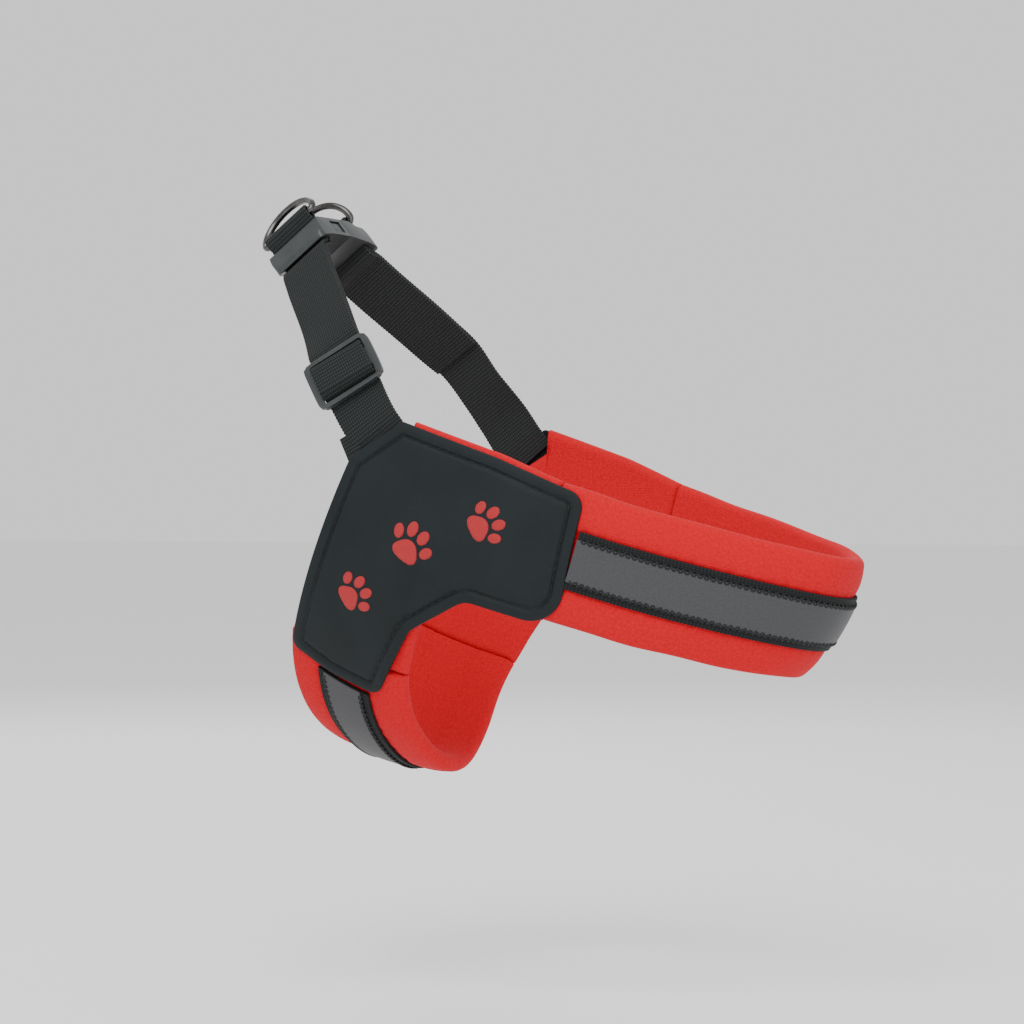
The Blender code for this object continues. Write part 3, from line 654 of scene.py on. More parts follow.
def padded_heights(along, across, side, seed):
    """Height over the form of the padded band's skin."""
    edge = 0.5 * BAND_WIDTH
    rise = puff(across, edge)
    beside = np.exp(-((np.abs(across) - STITCH_LINE - 0.0016) / 0.0022) ** 2)
    pull = np.exp(-((np.abs(across) - STITCH_LINE) / 0.0011) ** 2)
    which = np.where(across > 0, 1.0, 2.3)
    pucker = PUCKER * beside * ripple(along, PUCKER_PITCH, seed + which)
    swell = 1.0 + SWELL * ripple(along, SWELL_PITCH, seed + 4.0 * which)
    outer = MARGIN_PUFF * rise * swell - STITCH_PULL * pull + pucker
    inner = -INNER_PUFF * rise * swell + STITCH_PULL * pull + pucker
    middle = -0.5 * PAD_THICK
    return middle + side * 0.5 * PAD_THICK + np.where(side > 0, outer * side, -inner * side)


def padded_band(name, route, start, stations, seed):
    section = padded_section()
    total = float(LENGTHS[route][1][-1])
    lengths = np.linspace(start, total - start, stations)
    along = np.repeat(lengths, len(section))
    across = np.tile(section[:, 0], stations)
    side = np.tile(section[:, 1], stations)
    height = padded_heights(along, across, side, seed)
    wander = EDGE_WANDER * ripple(along, WANDER_PITCH, seed + 9.0 + np.sign(across))
    wander = wander * (np.abs(across) / (0.5 * BAND_WIDTH)) ** 3
    points = on_band(route, along, across + wander * np.sign(across), height)
    piece = mesh_piece(name, points, loft_faces(stations, len(section)), np.stack([along, across], -1))
    return finish_piece(piece, red_cloth, stands_for=(f"{route}_band",))


# %% Chest and girth padding
CHEST_SEAM = 0.0465
GIRTH_SEAM = 0.0680
chest_padding = padded_band("chest_padding", "chest", CHEST_SEAM, 280, 0.4)
girth_padding = padded_band("girth_padding", "girth", GIRTH_SEAM, 170, 2.1)
for padding in (chest_padding, girth_padding):
    print(padding.name, len(padding.data.polygons), "faces")

# %% [markdown]
# ## The side pad and its patch
#
# The side pieces have an outline with three arms, which is drawn flat from corners and radii. A
# mesh of rays from one hub covers such a shape well, because every ray meets the outline once.
# The height of each point depends on its true distance to the outline, so the rounded edge and
# the sewn groove keep their width on every side.

# %% Outlines of the side pieces
# forward, up, corner radius, in millimetres from the middle of the side
PATCH_CORNERS = (
    (-27.0, 12.6, 1.5),
    (-7.6, 24.4, 1.5),
    (26.5, 12.3, 60.0),
    (57.0, -0.8, 6.0),
    (45.5, -45.1, 12.0),
    (13.9, -35.5, 8.0),
    (-8.1, -46.2, 8.0),
    (-26.3, -70.9, 5.0),
    (-44.0, -62.6, 20.0),
    (-58.7, -52.1, 4.0),
)
PAD_TOP_CORNERS = (
    (-31.3, 0.3, 1.0),
    (-22.0, 6.0, 0.0),
    (-4.3, 16.7, 0.0),
    (-6.9, 25.8, 0.5),
    (28.0, 13.6, 60.0),
)
PAD_THROAT_CORNERS = (
    (13.9, -34.9, 8.0),
    (-4.2, -43.8, 6.0),
    (-9.2, -53.2, 20.0),
)
PAD_REAR_CORNERS = ((-51.9, -40.0, 12.0),)
HUB = np.array([-6.0, -20.0])
SEAM_GAP = 0.0003
ARC_STEP = math.radians(9.0)


def rounded_outline(corners):
    """Straight edges with an arc at each corner, in millimetres."""
    points = []
    for i, (x, y, radius) in enumerate(corners):
        here = np.array([x, y])
        before = unit(np.array(corners[i - 1][:2]) - here)
        after = unit(np.array(corners[(i + 1) % len(corners)][:2]) - here)
        half = 0.5 * math.acos(float(np.clip(before @ after, -1.0, 1.0)))
        if radius < 0.2 or half > math.radians(89.0):
            points.append(here)
            continue
        centre = here + unit(before + after) * radius / math.sin(half)
        start = here + before * radius / math.tan(half) - centre
        end = here + after * radius / math.tan(half) - centre
        turn = math.atan2(start[0] * end[1] - start[1] * end[0], start @ end)
        steps = max(3, math.ceil(abs(turn) / ARC_STEP))
        for k in range(steps + 1):
            points.append(centre + np.array(turned(*start, turn * k / steps)))
    return np.array(points)


def seam_corners(route, length):
    """The end of a band on the flat cut of the side, from edge to edge."""
    across = 0.5 * BAND_WIDTH * np.linspace(1.0, -1.0, 9)
    places = on_band(route, np.full(9, length), across, np.zeros(9)) - FORM_CENTRE
    pitch = np.arctan2(places[:, 2], places[:, 1])
    corners = []
    for point, turn in zip(places, pitch):
        radius = side_radius(turn)
        speed = np.hypot(HALF_WIDTH * np.sin(MERIDIAN), radius * np.cos(MERIDIAN))
        lengths = np.concatenate([[0.0], np.cumsum(0.5 * (speed[1:] + speed[:-1]) * np.diff(MERIDIAN))])
        reach = np.interp(math.acos(-point[0] / HALF_WIDTH), MERIDIAN, lengths)
        corners.append((-reach * math.cos(turn) / MM, reach * math.sin(turn) / MM, 0.0))
    return tuple(corners)


patch_outline = rounded_outline(PATCH_CORNERS)
pad_outline = rounded_outline(PAD_TOP_CORNERS + seam_corners("chest", CHEST_SEAM - SEAM_GAP)
                              + PAD_THROAT_CORNERS + seam_corners("girth", GIRTH_SEAM - SEAM_GAP)
                              + PAD_REAR_CORNERS)
print("patch outline", len(patch_outline), "points, pad outline", len(pad_outline), "points")

# %% Rays across an outline
RAY_STEP = math.radians(0.9)


def outline_distance(points, outline):
    """Distance of each point to the outline, in millimetres."""
    start, end = outline, np.roll(outline, -1, axis=0)
    run = end - start
    best = np.full(len(points), np.inf)
    for a, d in zip(start, run):
        share = np.clip(((points - a) @ d) / max(float(d @ d), 1e-9), 0.0, 1.0)
        best = np.minimum(best, np.linalg.norm(points - a - share[:, None] * d, axis=1))
    return best


def ray_angles(outline):
    """Angles from the hub through every corner of the outline, with the gaps filled evenly."""
    offset = outline - HUB
    angles = sorted(np.arctan2(offset[:, 1], offset[:, 0]))
    kept = [angles[0]]
    for angle in angles[1:]:
        if angle - kept[-1] > 0.35 * RAY_STEP:
            kept.append(angle)
    rays = []
    for i, angle in enumerate(kept):
        following = kept[i + 1] if i + 1 < len(kept) else kept[0] + 2.0 * math.pi
        parts = max(1, math.ceil((following - angle) / RAY_STEP))
        rays += [angle + (following - angle) * k / parts for k in range(parts)]
    return np.array(rays)


def ray_reach(outline, angles):
    start = outline - HUB
    end = np.roll(start, -1, axis=0)
    reach = np.empty(len(angles))
    for k, angle in enumerate(angles):
        ray = np.array([math.cos(angle), math.sin(angle)])
        a = start[:, 0] * ray[1] - start[:, 1] * ray[0]
        b = end[:, 0] * ray[1] - end[:, 1] * ray[0]
        crossing = np.nonzero((a > 0) != (b > 0))[0]
        share = a[crossing] / (a[crossing] - b[crossing])
        distance = (start[crossing] + share[:, None] * (end - start)[crossing]) @ ray
        reach[k] = distance[distance > 0].min()
    return reach


def plate(name, outline, insets, outer_height, inner_height, far):
    """A side piece: rings of the outline, shrunk to the hub, over and under. The heights are
    functions of the flat place and of the distance to the outline, in millimetres."""
    angles = ray_angles(outline)
    reach = ray_reach(outline, angles)
    directions = np.stack([np.cos(angles), np.sin(angles)], -1)
    start = max(insets)
    shares = np.linspace(0.0, 1.0, 22)[1:]
    radii = [share * (reach - start) for share in shares]
    radii += [reach - inset for inset in sorted(insets, reverse=True)[1:]]
    rings = [HUB + radius[:, None] * directions for radius in radii]
    hub = HUB[None, :]
    flats, heights = [], []
    for height_of, order in ((inner_height, rings), (outer_height, rings[::-1])):
        for ring in order:
            distance = outline_distance(ring, outline)
            flats.append(ring)
            heights.append(height_of(ring, distance))
    middle_distance = outline_distance(hub, outline)
    flats += [hub, hub]
    heights += [inner_height(hub, middle_distance), outer_height(hub, middle_distance)]
    flat, height = np.concatenate(flats), np.concatenate(heights)
    count, ring_count = len(angles), 2 * len(rings)
    faces = ring_faces(range(0, ring_count * count, count), count)
    last, hub_number = (ring_count - 1) * count, ring_count * count
    for i in range(count):
        j = (i + 1) % count
        faces.append((j, i, hub_number))
        faces.append((last + i, last + j, hub_number + 1))
    points = on_side(flat[:, 0] * MM, flat[:, 1] * MM, height * MM, far)
    return mesh_piece(name, points, faces, flat * MM)


print("rays on the patch:", len(ray_angles(patch_outline)))

# %% [markdown]
# The pad's edge is a half round as thick as the pad. The patch is a sheet 1.5 mm thick with a
# small round on its edge. A line of stitches sinks into it a few millimetres inside the edge, and
# leaves a low border roll outside the stitches, as soft sheet does.

# %% Side pads and patches
PAD_EDGE = 0.5 * PAD_THICK / MM
PAD_INSETS = (0.0, 0.12, 0.3, 0.55, 0.9, 1.3, 1.8, 2.5, 3.3, 4.3, 5.5, 7.0)
PAD_SWELL = 0.175
LAYER_GAP = 0.4
PATCH_THICK = 1.5
PATCH_EDGE = 0.55
STITCH_INSET = 4.2
PATCH_INSETS = (0.0, 0.05, 0.14, 0.27, 0.42, 0.6, 1.2, 2.0, 2.8, 3.4, 3.75, 4.0, 4.2, 4.4, 4.65,
                5.0, 5.7, 7.0, 9.0)
GROOVE_DEPTH = 0.80
GROOVE_WIDTH = 0.55
BORDER_ROLL = 0.26
BORDER_ROLL_INSET = 2.1
BORDER_ROLL_WIDTH = 1.1
PATCH_PUCKER = 0.07
DENTS = (0.22, 0.16)


def half_round(distance, edge):
    """Share of an edge's height that is left at a distance inside it."""
    inside = np.clip(1.0 - distance / edge, 0.0, 1.0)
    return np.sqrt(np.maximum(0.0, 1.0 - inside ** 2))


def pad_swell(flat, distance):
    soft = PAD_SWELL * ripple(flat[:, 0] + 0.4 * flat[:, 1], 31.0, 0.7)
    return soft * np.clip(distance / 8.0, 0.0, 1.0)


def pad_outer(flat, distance):
    return -PAD_EDGE + PAD_EDGE * half_round(distance, PAD_EDGE)


def pad_inner(flat, distance):
    return -PAD_EDGE - PAD_EDGE * half_round(distance, PAD_EDGE) + pad_swell(flat, distance)


def patch_relief(flat, distance):
    groove = -GROOVE_DEPTH * np.exp(-((distance - STITCH_INSET) / GROOVE_WIDTH) ** 2)
    roll = BORDER_ROLL * np.exp(-((distance - BORDER_ROLL_INSET) / BORDER_ROLL_WIDTH) ** 2)
    along = np.arctan2(flat[:, 1] - HUB[1], flat[:, 0] - HUB[0]) * 42.0
    pucker = PATCH_PUCKER * ripple(along, 5.4, 1.3) * np.exp(-((distance - STITCH_INSET) / 1.6) ** 2)
    field = np.clip((distance - 6.0) / 10.0, 0.0, 1.0)
    dents = DENTS[0] * field * ripple(flat[:, 0] + 0.5 * flat[:, 1], 37.0, 0.2)
    dents = dents + DENTS[1] * field * ripple(flat[:, 1] - 0.3 * flat[:, 0], 29.0, 1.9)
    return groove + roll + pucker + dents


def patch_outer(flat, distance):
    top = LAYER_GAP + PATCH_THICK
    round_off = PATCH_EDGE * (1.0 - half_round(distance, PATCH_EDGE))
    return top - round_off + patch_relief(flat, distance) * np.clip(distance / 0.6, 0.0, 1.0)


def patch_inner(flat, distance):
    return LAYER_GAP + 0.2 * (1.0 - half_round(distance, PATCH_EDGE))


for side, far in SIDES:
    pad = plate(f"{side}_side_padding", pad_outline, PAD_INSETS, pad_outer, pad_inner, far)
    finish_piece(pad, red_cloth, stands_for=(f"{side}_side_pad",))
    patch = plate(f"{side}_patch_sheet", patch_outline, PATCH_INSETS, patch_outer, patch_inner, far)
    finish_piece(patch, patch_rubber, stands_for=(f"{side}_patch",))
    print(pad.name, len(pad.data.polygons), "faces,", patch.name, len(patch.data.polygons), "faces")

# %% [markdown]
# ## Webbing strips and reflective tape
#
# A strip of webbing is a long flat sheet, so it starts as a grid at its real length and width. The
# grid is given its thickness, its edges are rounded, and its points are then moved onto the band.
# The woven ribs are raised in the mesh, so that they also show along the strip's edge.

# %% Flat strips
WEBBING_WIDTH = 0.020
WEBBING_THICK = 0.0012
TAPE_WIDTH = 0.0145
TAPE_THICK = 0.0004
RIB_HEIGHT = 0.00007
RIBBED_CELL = 0.00042
PLAIN_CELL = 0.0009
SELVEDGE = 0.00011
STRIP_WAVE = 0.00006
STRIP_WAVE_PITCH = 0.017


def named(name):
    """Name the primitive that was just added."""
    piece = bpy.context.object
    piece.name = piece.data.name = name
    return piece


def shape_with(piece, kind, **settings):
    """Add a modifier, set it and apply it."""
    modifier = piece.modifiers.new(kind.lower(), kind)
    for setting, value in settings.items():
        setattr(modifier, setting, value)
    bpy.context.view_layer.objects.active = piece
    bpy.ops.object.modifier_apply(modifier=modifier.name)


def flat_strip(name, length, width, thick, cell, across_cells):
    """A strip at the origin: x along it from 0, y across it, and z from 0 up to its thickness."""
    bpy.ops.object.select_all(action="DESELECT")
    cells = max(4, round(length / cell))
    bpy.ops.mesh.primitive_grid_add(x_subdivisions=cells, y_subdivisions=across_cells, size=1.0)
    piece = named(name)
    for vertex in piece.data.vertices:
        vertex.co.x = (vertex.co.x + 0.5) * length
        vertex.co.y = vertex.co.y * width
    shape_with(piece, "SOLIDIFY", thickness=thick, offset=1.0)
    shape_with(piece, "BEVEL", width=0.32 * thick, segments=2, limit_method="ANGLE")
    return piece


def read_points(piece):
    points = np.empty(3 * len(piece.data.vertices))
    piece.data.vertices.foreach_get("co", points)
    return points.reshape(-1, 3)


def write_points(piece, points):
    piece.data.vertices.foreach_set("co", np.ascontiguousarray(points).ravel())
    piece.data.update()


def rib(along, across):
    """Woven relief: ribs across the strip that shift by half a rib from yarn to yarn."""
    ribs = np.cos(2.0 * math.pi * along / RIB_PITCH)
    return ribs * (0.75 + 0.25 * np.cos(2.0 * math.pi * across / (2.0 * YARN_PITCH)))


def selvedge(along, across, width):
    """Places across the strip, with each rib standing out a little at the woven edge."""
    near_edge = np.abs(across) / (0.5 * width)
    push = SELVEDGE * near_edge ** 6 * np.cos(2.0 * math.pi * along / RIB_PITCH)
    return across + np.sign(across) * push


def band_strip(name, route, start, slant, width, thick, low, ribbed, cells, material, stands_for):
    """Webbing or tape down the middle of a band, with both ends cut at a slant."""
    total = float(LENGTHS[route][1][-1])
    length = total - 2.0 * start
    strip = flat_strip(name, length, width, thick, RIBBED_CELL if ribbed else PLAIN_CELL, cells)
    flat = read_points(strip)
    lift = np.where(flat[:, 2] > 0.5 * thick, 1.0, 0.0)
    along, across = flat[:, 0].copy(), flat[:, 1].copy()
    if ribbed:
        across = selvedge(along, across, width)
        flat[:, 2] += lift * RIB_HEIGHT * rib(along, across)
    share = flat[:, 0] / length
    shifted = start + slant * across + share * (length - 2.0 * slant * across)
    height = low + flat[:, 2] + lift * STRIP_WAVE * ripple(along, STRIP_WAVE_PITCH, 0.6)
    mark_cut(strip, np.stack([along, flat[:, 1]], -1))
    write_points(strip, on_band(route, shifted, across, height))
    finish_piece(strip, material, stands_for=(stands_for,))
    return strip


# %% Strips on both bands
CHEST_STRIP_START = 0.0565
GIRTH_STRIP_START = 0.0780
GIRTH_STRIP_SLANT = 0.27
STRIP_LOW = 0.0004
TAPE_LOW = STRIP_LOW + WEBBING_THICK + 0.0002
STRIPS = {
    "chest": (CHEST_STRIP_START, 0.0),
    "girth": (GIRTH_STRIP_START, GIRTH_STRIP_SLANT),
}
for route, (start, slant) in STRIPS.items():
    strip = band_strip(f"{route}_webbing_strip", route, start, slant, WEBBING_WIDTH, WEBBING_THICK,
                       STRIP_LOW, True, 26, smooth_webbing, f"{route}_webbing")
    tape = band_strip(f"{route}_tape", route, start, slant, TAPE_WIDTH, TAPE_THICK, TAPE_LOW, False, 14,
                      reflective_tape, f"{route}_reflective_tape")
    print(strip.name, len(strip.data.polygons), "faces,", tape.name, len(tape.data.polygons), "faces")

# %% [markdown]
# ## Stitches
#
# Thread is the smallest thing that shows. One stitch is modelled as a short rounded bar that bows
# down into the cloth at both ends. Copies of it are set along a line on the flat cut and laid on
# the form by the same function as the cloth under them, so they follow every curve.

# %% One stitch and a row of them
STITCH_THREAD = 0.00052
STITCH_BOW = 2.2
STITCH_FLATNESS = 0.8


def stitch_shape():
    """A rounded bar of unit length, width and height, bowed so that its ends dip."""
    bpy.ops.object.select_all(action="DESELECT")
    bpy.ops.mesh.primitive_uv_sphere_add(segments=6, ring_count=6, radius=0.5)
    bar = bpy.context.object
    bar.data.transform(Matrix.Rotation(0.5 * math.pi, 4, "Y"))
    points = read_points(bar)
    x = points[:, 0].copy()
    thick = np.sqrt(np.maximum(0.0, 1.0 - (2.0 * np.abs(x)) ** 4))
    round_now = np.sqrt(np.maximum(1e-9, 1.0 - (2.0 * x) ** 2))
    points[:, 1:] *= (thick / round_now)[:, None]
    points[:, 2] -= STITCH_BOW * x ** 2
    faces = [tuple(polygon.vertices) for polygon in bar.data.polygons]
    bpy.data.objects.remove(bar)
    return points, faces


STITCH_POINTS, STITCH_FACES = stitch_shape()


def sew(name, seats, lay, material=black_thread, thread=STITCH_THREAD):
    """Stitches as one piece. Each seat is a flat place, its heading, length and height."""
    points, faces = [], []
    for along, across, heading, length, height in seats:
        c, s = math.cos(heading), math.sin(heading)
        x, y = STITCH_POINTS[:, 0] * length, STITCH_POINTS[:, 1] * thread
        base = len(points) * len(STITCH_POINTS)
        points.append(np.stack([along + c * x - s * y, across + s * x + c * y,
                                height + STITCH_POINTS[:, 2] * thread * STITCH_FLATNESS], -1))
        faces += [tuple(base + i for i in face) for face in STITCH_FACES]
    flat = np.concatenate(points)
    piece = mesh_piece(name, lay(flat[:, 0], flat[:, 1], flat[:, 2]), faces, flat[:, :2])
    finish_piece(piece, material)
    print(name, len(seats), "stitches")
    return piece


# %% [markdown]
# The tape is held by zigzag stitches along both its edges. Each stitch starts on the black webbing
# and ends on the tape, which gives the grey tape its saw-toothed black edge.

# %% Zigzag along the tape
ZIGZAG_PITCH = 0.0011
ZIGZAG_WIDTH = 0.0017
ZIGZAG_THREAD = 0.00078
ZIGZAG_HEIGHT = TAPE_LOW + TAPE_THICK + 0.00004
ZIGZAG_START = 0.0012
ZIGZAG_INSET = 0.0003
ZIGZAG_WOBBLE = 0.16


def zigzag_seats(route, start, slant):
    total = float(LENGTHS[route][1][-1])
    seats = []
    for edge in (-0.5 * TAPE_WIDTH, 0.5 * TAPE_WIDTH):
        first = start + slant * edge + ZIGZAG_START
        last = total - first
        count = int((last - first) / ZIGZAG_PITCH)
        for k in range(count):
            wobble = ZIGZAG_WOBBLE * math.sin(k * GOLDEN * 2.4 + edge * 900.0)
            swing = 1.0 if k % 2 else -1.0
            heading = swing * math.atan2(ZIGZAG_WIDTH, ZIGZAG_PITCH) * (1.0 + wobble)
            length = math.hypot(ZIGZAG_WIDTH, ZIGZAG_PITCH) * (1.05 + 0.5 * wobble)
            across = edge - math.copysign(ZIGZAG_INSET, edge) + 0.0006 * wobble
            seats.append((first + (k + 0.5) * ZIGZAG_PITCH, across, heading, length, ZIGZAG_HEIGHT))
    return seats


for route, (start, slant) in STRIPS.items():
    lay = lambda x, y, z, route=route: on_band(route, x, y, z)
    sew(f"{route}_tape_zigzag", zigzag_seats(route, start, slant), lay, thread=ZIGZAG_THREAD)

# %% Stitches round the patch
PATCH_STITCH = 0.0027
PATCH_STITCH_GAP = 0.0007
PATCH_STITCH_HEIGHT = (LAYER_GAP + PATCH_THICK - 0.58) * MM
LOOK_AHEAD = 0.0004


def inset_line(outline, inset):
    """The line at a distance inside the outline, found along each ray from the hub."""
    angles = np.linspace(-math.pi, math.pi, 721)[:-1]
    reach = ray_reach(outline, angles)
    directions = np.stack([np.cos(angles), np.sin(angles)], -1)
    near, out = 0.35 * reach, reach.copy()
    for _ in range(22):
        middle = 0.5 * (near + out)
        deep = outline_distance(HUB + middle[:, None] * directions, outline) > inset
        near, out = np.where(deep, middle, near), np.where(deep, out, middle)
    return HUB + near[:, None] * directions


def line_seats(line, pitch, length, height):
    """Seats at an even pitch along a closed flat line, in metres."""
    ring = np.concatenate([line, line[:1]])
    runs = running_length(ring)
    count = round(runs[-1] / pitch)
    seats = []
    for k in range(count):
        at = (k + 0.5) * runs[-1] / count
        here, ahead = read_along([at, min(at + LOOK_AHEAD, runs[-1])], runs, ring)
        heading = math.atan2(ahead[1] - here[1], ahead[0] - here[0])
        seats.append((here[0], here[1], heading, length, height))
    return seats


patch_seats = line_seats(inset_line(patch_outline, STITCH_INSET) * MM, PATCH_STITCH + PATCH_STITCH_GAP,
                         PATCH_STITCH, PATCH_STITCH_HEIGHT)
for side, far in SIDES:
    sew(f"{side}_patch_stitches", patch_seats, lambda x, y, z, far=far: on_side(x, y, z, far))

# %% [markdown]
# ## The embroidered paw prints
#
# The middle of each patch carries a small red embroidery: three paw prints that climb towards the
# neck. A paw is one large pad and four toes. Satin stitch covers each with close parallel threads
# and stands a little proud, with a soft rounded edge, so each shape is a low dome on the patch.

# %% Paw prints
# forward, up, size, turn in degrees
PAWS = (
    (-28.0, -33.5, 1.05, -62.0),
    (-4.5, -17.0, 1.15, -40.0),
    (22.5, -10.0, 1.05, -66.0),
)
# forward, up, half width, half height, turn in degrees; the first is the large pad
PAW_SHAPES = (
    (0.0, -2.0, 4.3, 3.4, 0.0),
    (-5.3, 1.5, 1.65, 2.3, 26.0),
    (-2.1, 4.6, 1.75, 2.5, 8.0),
    (2.1, 4.6, 1.75, 2.5, -8.0),
    (5.3, 1.5, 1.65, 2.3, -26.0),
)
EMBROIDERY_HEIGHT = 0.42
EMBROIDERY_SINK = 0.06
LARGE_PAD_LOBES = 0.10
DOME_RINGS = 9
DOME_SIDES = 48


def satin_dome(half_width, half_height, lobe):
    """A low dome with a full edge: flat points and heights, in millimetres."""
    turns = np.linspace(0.0, 2.0 * math.pi, DOME_SIDES, endpoint=False)
    edge = np.stack([half_width * np.cos(turns), half_height * np.sin(turns)], -1)
    if lobe:
        edge *= (1.0 + LARGE_PAD_LOBES * np.cos(3.0 * (turns - 0.5 * math.pi)))[:, None]
    flats, heights = [], []
    for share in np.linspace(1.0, 0.0, DOME_RINGS)[:-1]:
        flats.append(edge * share)
        heights.append(np.full(DOME_SIDES, EMBROIDERY_HEIGHT * (1.0 - share ** 4) ** 0.5))
    flats.append(np.zeros((1, 2)))
    heights.append(np.full(1, EMBROIDERY_HEIGHT))
    return np.concatenate(flats), np.concatenate(heights)


def paw_prints(name, far):
    points, faces, heights, cuts = [], [], [], []
    base = 0
    for forward, up, size, turn in PAWS:
        for index, (x, y, half_width, half_height, lean) in enumerate(PAW_SHAPES):
            flat, height = satin_dome(half_width, half_height, index == 0)
            local = np.array([x, y]) + np.stack(turned(*flat.T, math.radians(lean)), -1)
            placed = np.stack(turned(*local.T, math.radians(turn)), -1)
            points.append(np.array([forward, up]) + size * placed)
            cuts.append(local)
            heights.append(height)
            top, last = base + len(flat) - 1, base + (DOME_RINGS - 2) * DOME_SIDES
            faces += ring_faces(range(base, last + 1, DOME_SIDES), DOME_SIDES)
            for i in range(DOME_SIDES):
                faces.append((last + i, last + (i + 1) % DOME_SIDES, top))
            faces.append(tuple(base + i for i in reversed(range(DOME_SIDES))))
            base += len(flat)
    flat, height = np.concatenate(points), np.concatenate(heights)
    seat = patch_outer(flat, outline_distance(flat, patch_outline)) - EMBROIDERY_SINK
    places = on_side(flat[:, 0] * MM, flat[:, 1] * MM, (seat + height) * MM, far)
    piece = mesh_piece(name, places, faces, np.concatenate(cuts) * MM)
    return finish_piece(piece, red_thread)


for side, far in SIDES:
    prints = paw_prints(f"{side}_paw_prints", far)
    print(prints.name, len(prints.data.polygons), "faces")

# %% [markdown]
# ## The back strap
#
# One length of webbing leaves the patch, goes under the slider's lower bar, over its middle bar and
# under its upper bar, then runs up to the buckle. There it passes through the slot, turns round the
# ring's straight side and comes back down underneath, and its end is held by the slider. The path
# is drawn in the flat plane of the strap's loop and smoothed, and the woven strip follows it.

# %% Paths of the strap
RING_WIRE = 0.0013
RING_EYE_CLEARANCE = 0.00035
RING_STATION = 0.0140
NEAR_RING_HEIGHT = 0.0130
FAR_RING_HEIGHT = 0.0104
FAR_END_DROP = 0.0022
OUTER_LAYER = 0.0023
RETURN_LAYER = 0.0008
HANGING_FROM = 0.0650
STRAP_TUCK = 0.0183
PATH_STEP = 0.00034


def smooth_path(points, spacing):
    """A Catmull-Rom curve through the points, read at an even spacing."""
    points = [np.asarray(p, float) for p in points]
    padded = [2 * points[0] - points[1]] + points + [2 * points[-1] - points[-2]]
    path = []
    for a, b, c, d in zip(padded, padded[1:], padded[2:], padded[3:]):
        for s in np.linspace(0.0, 1.0, 16, endpoint=False):
            path.append(0.5 * (2 * b + (c - a) * s + (2 * a - 5 * b + 4 * c - d) * s ** 2
                               + (3 * b - a - 3 * c + d) * s ** 3))
    path = np.array(path + [points[-1]])
    runs = running_length(path)
    even = np.linspace(0.0, runs[-1], round(runs[-1] / spacing) + 1)
    return read_along(even, runs, path), float(runs[-1])


def path_normals(path):
    steps = np.gradient(path, axis=0)
    return unit(np.stack([-steps[:, 1], steps[:, 0]], -1))


def ring_loop_points(ring_height, drop):
    """From under the buckle's end bar, up its slot, round the ring and back."""
    eye = RING_WIRE + RING_EYE_CLEARANCE + 0.5 * WEBBING_THICK
    outer = [(-23.4, -5.0), (-21.6, -2.7), (-19.2, -1.1), (-16.9, -0.5), (-15.4, 0.3), (-14.95, 2.2),
             (-14.95, 5.5), (-15.0, 8.2)]
    inner = [(-13.1, 7.8), (-13.1, 5.5), (-13.15, 2.2), (-13.7, -0.9), (-15.6, -2.1), (-18.6, -2.6),
             (-20.6, -3.9), (-22.2, -6.0)]
    points = [above_withers(x * MM, z * MM - drop) for x, z in outer]
    turn_back = arc(-RING_STATION, ring_height, eye, eye, range(212, -33, -20))
    points += [above_withers(x, z) for x, z in turn_back]
    return points + [above_withers(x * MM, z * MM - drop) for x, z in inner]


def hanging(top, low):
    """Points of the straight stretch between the buckle and the form, without its ends."""
    return [top + share * (low - top) for share in (0.25, 0.5, 0.75)]


def slider_crossing():
    rise = [(-10.6, 2.2), (-8.4, 2.15), (-6.95, 2.6), (-6.35, 3.8), (-6.0, 5.3), (-5.2, 6.85), (-3.7, 7.6)]
    fall = [(-x, z) for x, z in reversed(rise)]
    return [at_slider(x * MM, z * MM) for x, z in rise + fall]


def slider_wrap():
    turn = [(9.6, 0.8), (5.0, 0.8), (-1.0, 0.8), (-3.4, 1.2), (-4.25, 2.5), (-4.22, 5.2), (-3.7, 5.9),
            (-2.7, 6.1), (2.7, 6.1), (3.7, 5.9), (4.22, 5.2), (4.25, 3.4), (3.7, 2.5), (2.7, 2.3),
            (0.2, 2.3)]
    return [at_slider(x * MM, z * MM) for x, z in turn]


def strap_start():
    return [on_loop(STRAP_TUCK, -0.0012), on_loop(0.0260, -0.0011), on_loop(0.0300, -0.0002)]


def upper_strap(outer_low, return_low, ring_height, drop):
    """Up to the buckle, round the ring and back down to the return layer's end."""
    loop = ring_loop_points(ring_height, drop)
    return [outer_low] + hanging(outer_low, loop[0]) + loop + hanging(loop[-1], return_low) + [return_low]


def near_strap_points():
    points = strap_start() + [on_loop(0.0365, -0.0001)] + slider_crossing()
    points += upper_strap(at_slider(0.0138, OUTER_LAYER), at_slider(0.0134, RETURN_LAYER),
                          NEAR_RING_HEIGHT, 0.0)
    return points + slider_wrap()


def far_strap_points():
    points = strap_start() + [on_loop(0.0360, RETURN_LAYER)]
    points += [on_loop(length, RETURN_LAYER) for length in (0.0440, 0.0520)]
    return points + upper_strap(on_loop(HANGING_FROM, OUTER_LAYER), on_loop(HANGING_FROM, RETURN_LAYER),
                                FAR_RING_HEIGHT, FAR_END_DROP)


# %% Strap webbing
STRAP_CELLS = 24


def face_outwards():
    """Turn all the faces of the active piece to point out."""
    bpy.ops.object.mode_set(mode="EDIT")
    bpy.ops.mesh.select_all(action="SELECT")
    bpy.ops.mesh.normals_make_consistent(inside=False)
    bpy.ops.object.mode_set(mode="OBJECT")


